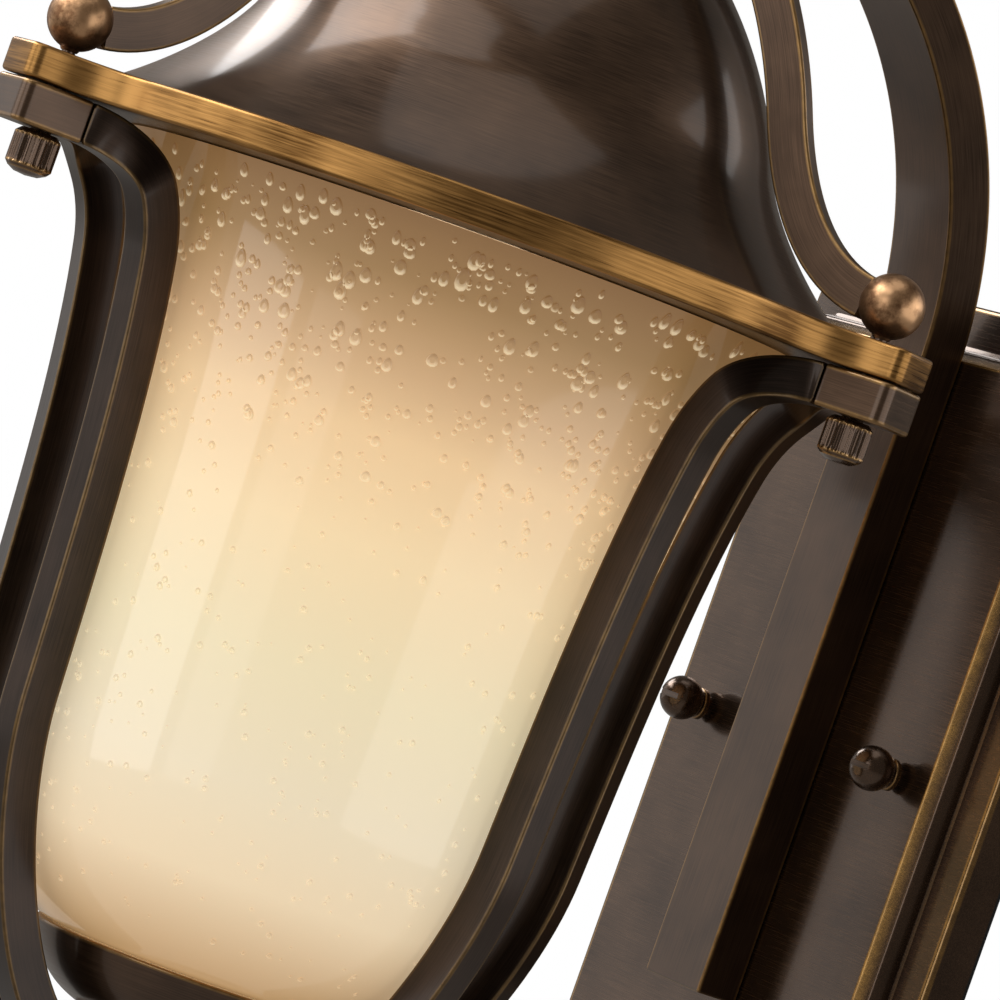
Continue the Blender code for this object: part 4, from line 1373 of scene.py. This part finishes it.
def make_stage():
    """Pale floor, white backdrop, dim surroundings and soft boxes."""
    floor = make_floor()
    make_surroundings()
    pieces = [thing for thing in bpy.context.scene.objects if thing.type == "MESH"]
    glass = [thing for thing in pieces if thing.name.startswith("glass_")]
    metal = [thing for thing in pieces if thing not in glass and thing is not floor]
    trim = [thing for thing in metal if thing.name.startswith(TRIM)]
    groups = {"metal": metal, "trim": trim, "glass": glass, "floor": [floor]}
    for name, (group, *setting) in SOFT_BOXES.items():
        softbox(name, groups[group], *setting)
    bpy.context.scene.view_settings.view_transform = "Standard"


# -------------------------------------------------------------------- operators


class LANTERN_OT_wall_plate(bpy.types.Operator):
    """Make the stepped wall plate"""

    bl_idname = "lantern.wall_plate"
    bl_label = "Wall plate"

    def execute(self, context):
        make_wall_plate()
        return {"FINISHED"}


class LANTERN_OT_arm(bpy.types.Operator):
    """Make the arched arm"""

    bl_idname = "lantern.arm"
    bl_label = "Arm"

    def execute(self, context):
        make_arm()
        return {"FINISHED"}


class LANTERN_OT_roof(bpy.types.Operator):
    """Make the bell roof, its crown and the top finial"""

    bl_idname = "lantern.roof"
    bl_label = "Roof"

    def execute(self, context):
        make_roof()
        make_crown()
        return {"FINISHED"}


class LANTERN_OT_flange(bpy.types.Operator):
    """Make the brass-edged flange"""

    bl_idname = "lantern.flange"
    bl_label = "Flange"

    def execute(self, context):
        make_flange()
        return {"FINISHED"}


class LANTERN_OT_scrolls(bpy.types.Operator):
    """Make the scrolls, balls and lug studs"""

    bl_idname = "lantern.scrolls"
    bl_label = "Scrolls"

    def execute(self, context):
        make_scrolls()
        return {"FINISHED"}


class LANTERN_OT_cage(bpy.types.Operator):
    """Make the lugs, straps, hub and dish"""

    bl_idname = "lantern.cage"
    bl_label = "Cage"

    def execute(self, context):
        make_cage()
        return {"FINISHED"}


class LANTERN_OT_glass(bpy.types.Operator):
    """Make the bell glass and its seeds"""

    bl_idname = "lantern.glass"
    bl_label = "Glass"

    def execute(self, context):
        make_glass()
        make_seeds()
        return {"FINISHED"}


class LANTERN_OT_fasteners(bpy.types.Operator):
    """Make the nuts and the bottom finial"""

    bl_idname = "lantern.fasteners"
    bl_label = "Fasteners"

    def execute(self, context):
        make_thumb_nuts()
        make_cap_nuts()
        make_bottom_finial()
        return {"FINISHED"}


class LANTERN_OT_lamp(bpy.types.Operator):
    """Make the lamp holder and the bulb"""

    bl_idname = "lantern.lamp"
    bl_label = "Lamp"

    def execute(self, context):
        make_lamp()
        return {"FINISHED"}


class LANTERN_OT_small_parts(bpy.types.Operator):
    """Give the inner parts their finishes"""

    bl_idname = "lantern.small_parts"
    bl_label = "Small parts"

    def execute(self, context):
        dress_small_parts()
        return {"FINISHED"}


class LANTERN_OT_stage(bpy.types.Operator):
    """Make the floor, the light and the camera"""

    bl_idname = "lantern.stage"
    bl_label = "Stage"

    def execute(self, context):
        make_stage()
        make_camera()
        return {"FINISHED"}


OPERATORS = (
    LANTERN_OT_wall_plate,
    LANTERN_OT_arm,
    LANTERN_OT_roof,
    LANTERN_OT_flange,
    LANTERN_OT_scrolls,
    LANTERN_OT_cage,
    LANTERN_OT_glass,
    LANTERN_OT_fasteners,
    LANTERN_OT_lamp,
    LANTERN_OT_small_parts,
    LANTERN_OT_stage,
)


class LANTERN_PT_panel(bpy.types.Panel):
    """Lists the lantern's pieces, sizes and colours."""

    bl_label = "Wall Lantern"
    bl_idname = "LANTERN_PT_panel"
    bl_space_type = "VIEW_3D"
    bl_region_type = "UI"
    bl_category = "Lantern"

    def draw(self, context):
        for settings in (context.scene.lantern_sizes, context.scene.lantern_colours):
            box = self.layout.box()
            for name in settings.__annotations__:
                box.prop(settings, name)
        for made in OPERATORS:
            self.layout.operator(made.bl_idname)


CLASSES = (LanternSizes, LanternColours, *OPERATORS, LANTERN_PT_panel)


def register():
    for made in CLASSES:
        bpy.utils.register_class(made)
    bpy.types.Scene.lantern_sizes = bpy.props.PointerProperty(type=LanternSizes)
    bpy.types.Scene.lantern_colours = bpy.props.PointerProperty(type=LanternColours)


def unregister():
    del bpy.types.Scene.lantern_colours
    del bpy.types.Scene.lantern_sizes
    for made in reversed(CLASSES):
        bpy.utils.unregister_class(made)


def main():
    register()
    for made in OPERATORS:
        group, name = made.bl_idname.split(".")
        getattr(getattr(bpy.ops, group), name)()


if __name__ == "__main__":
    main()
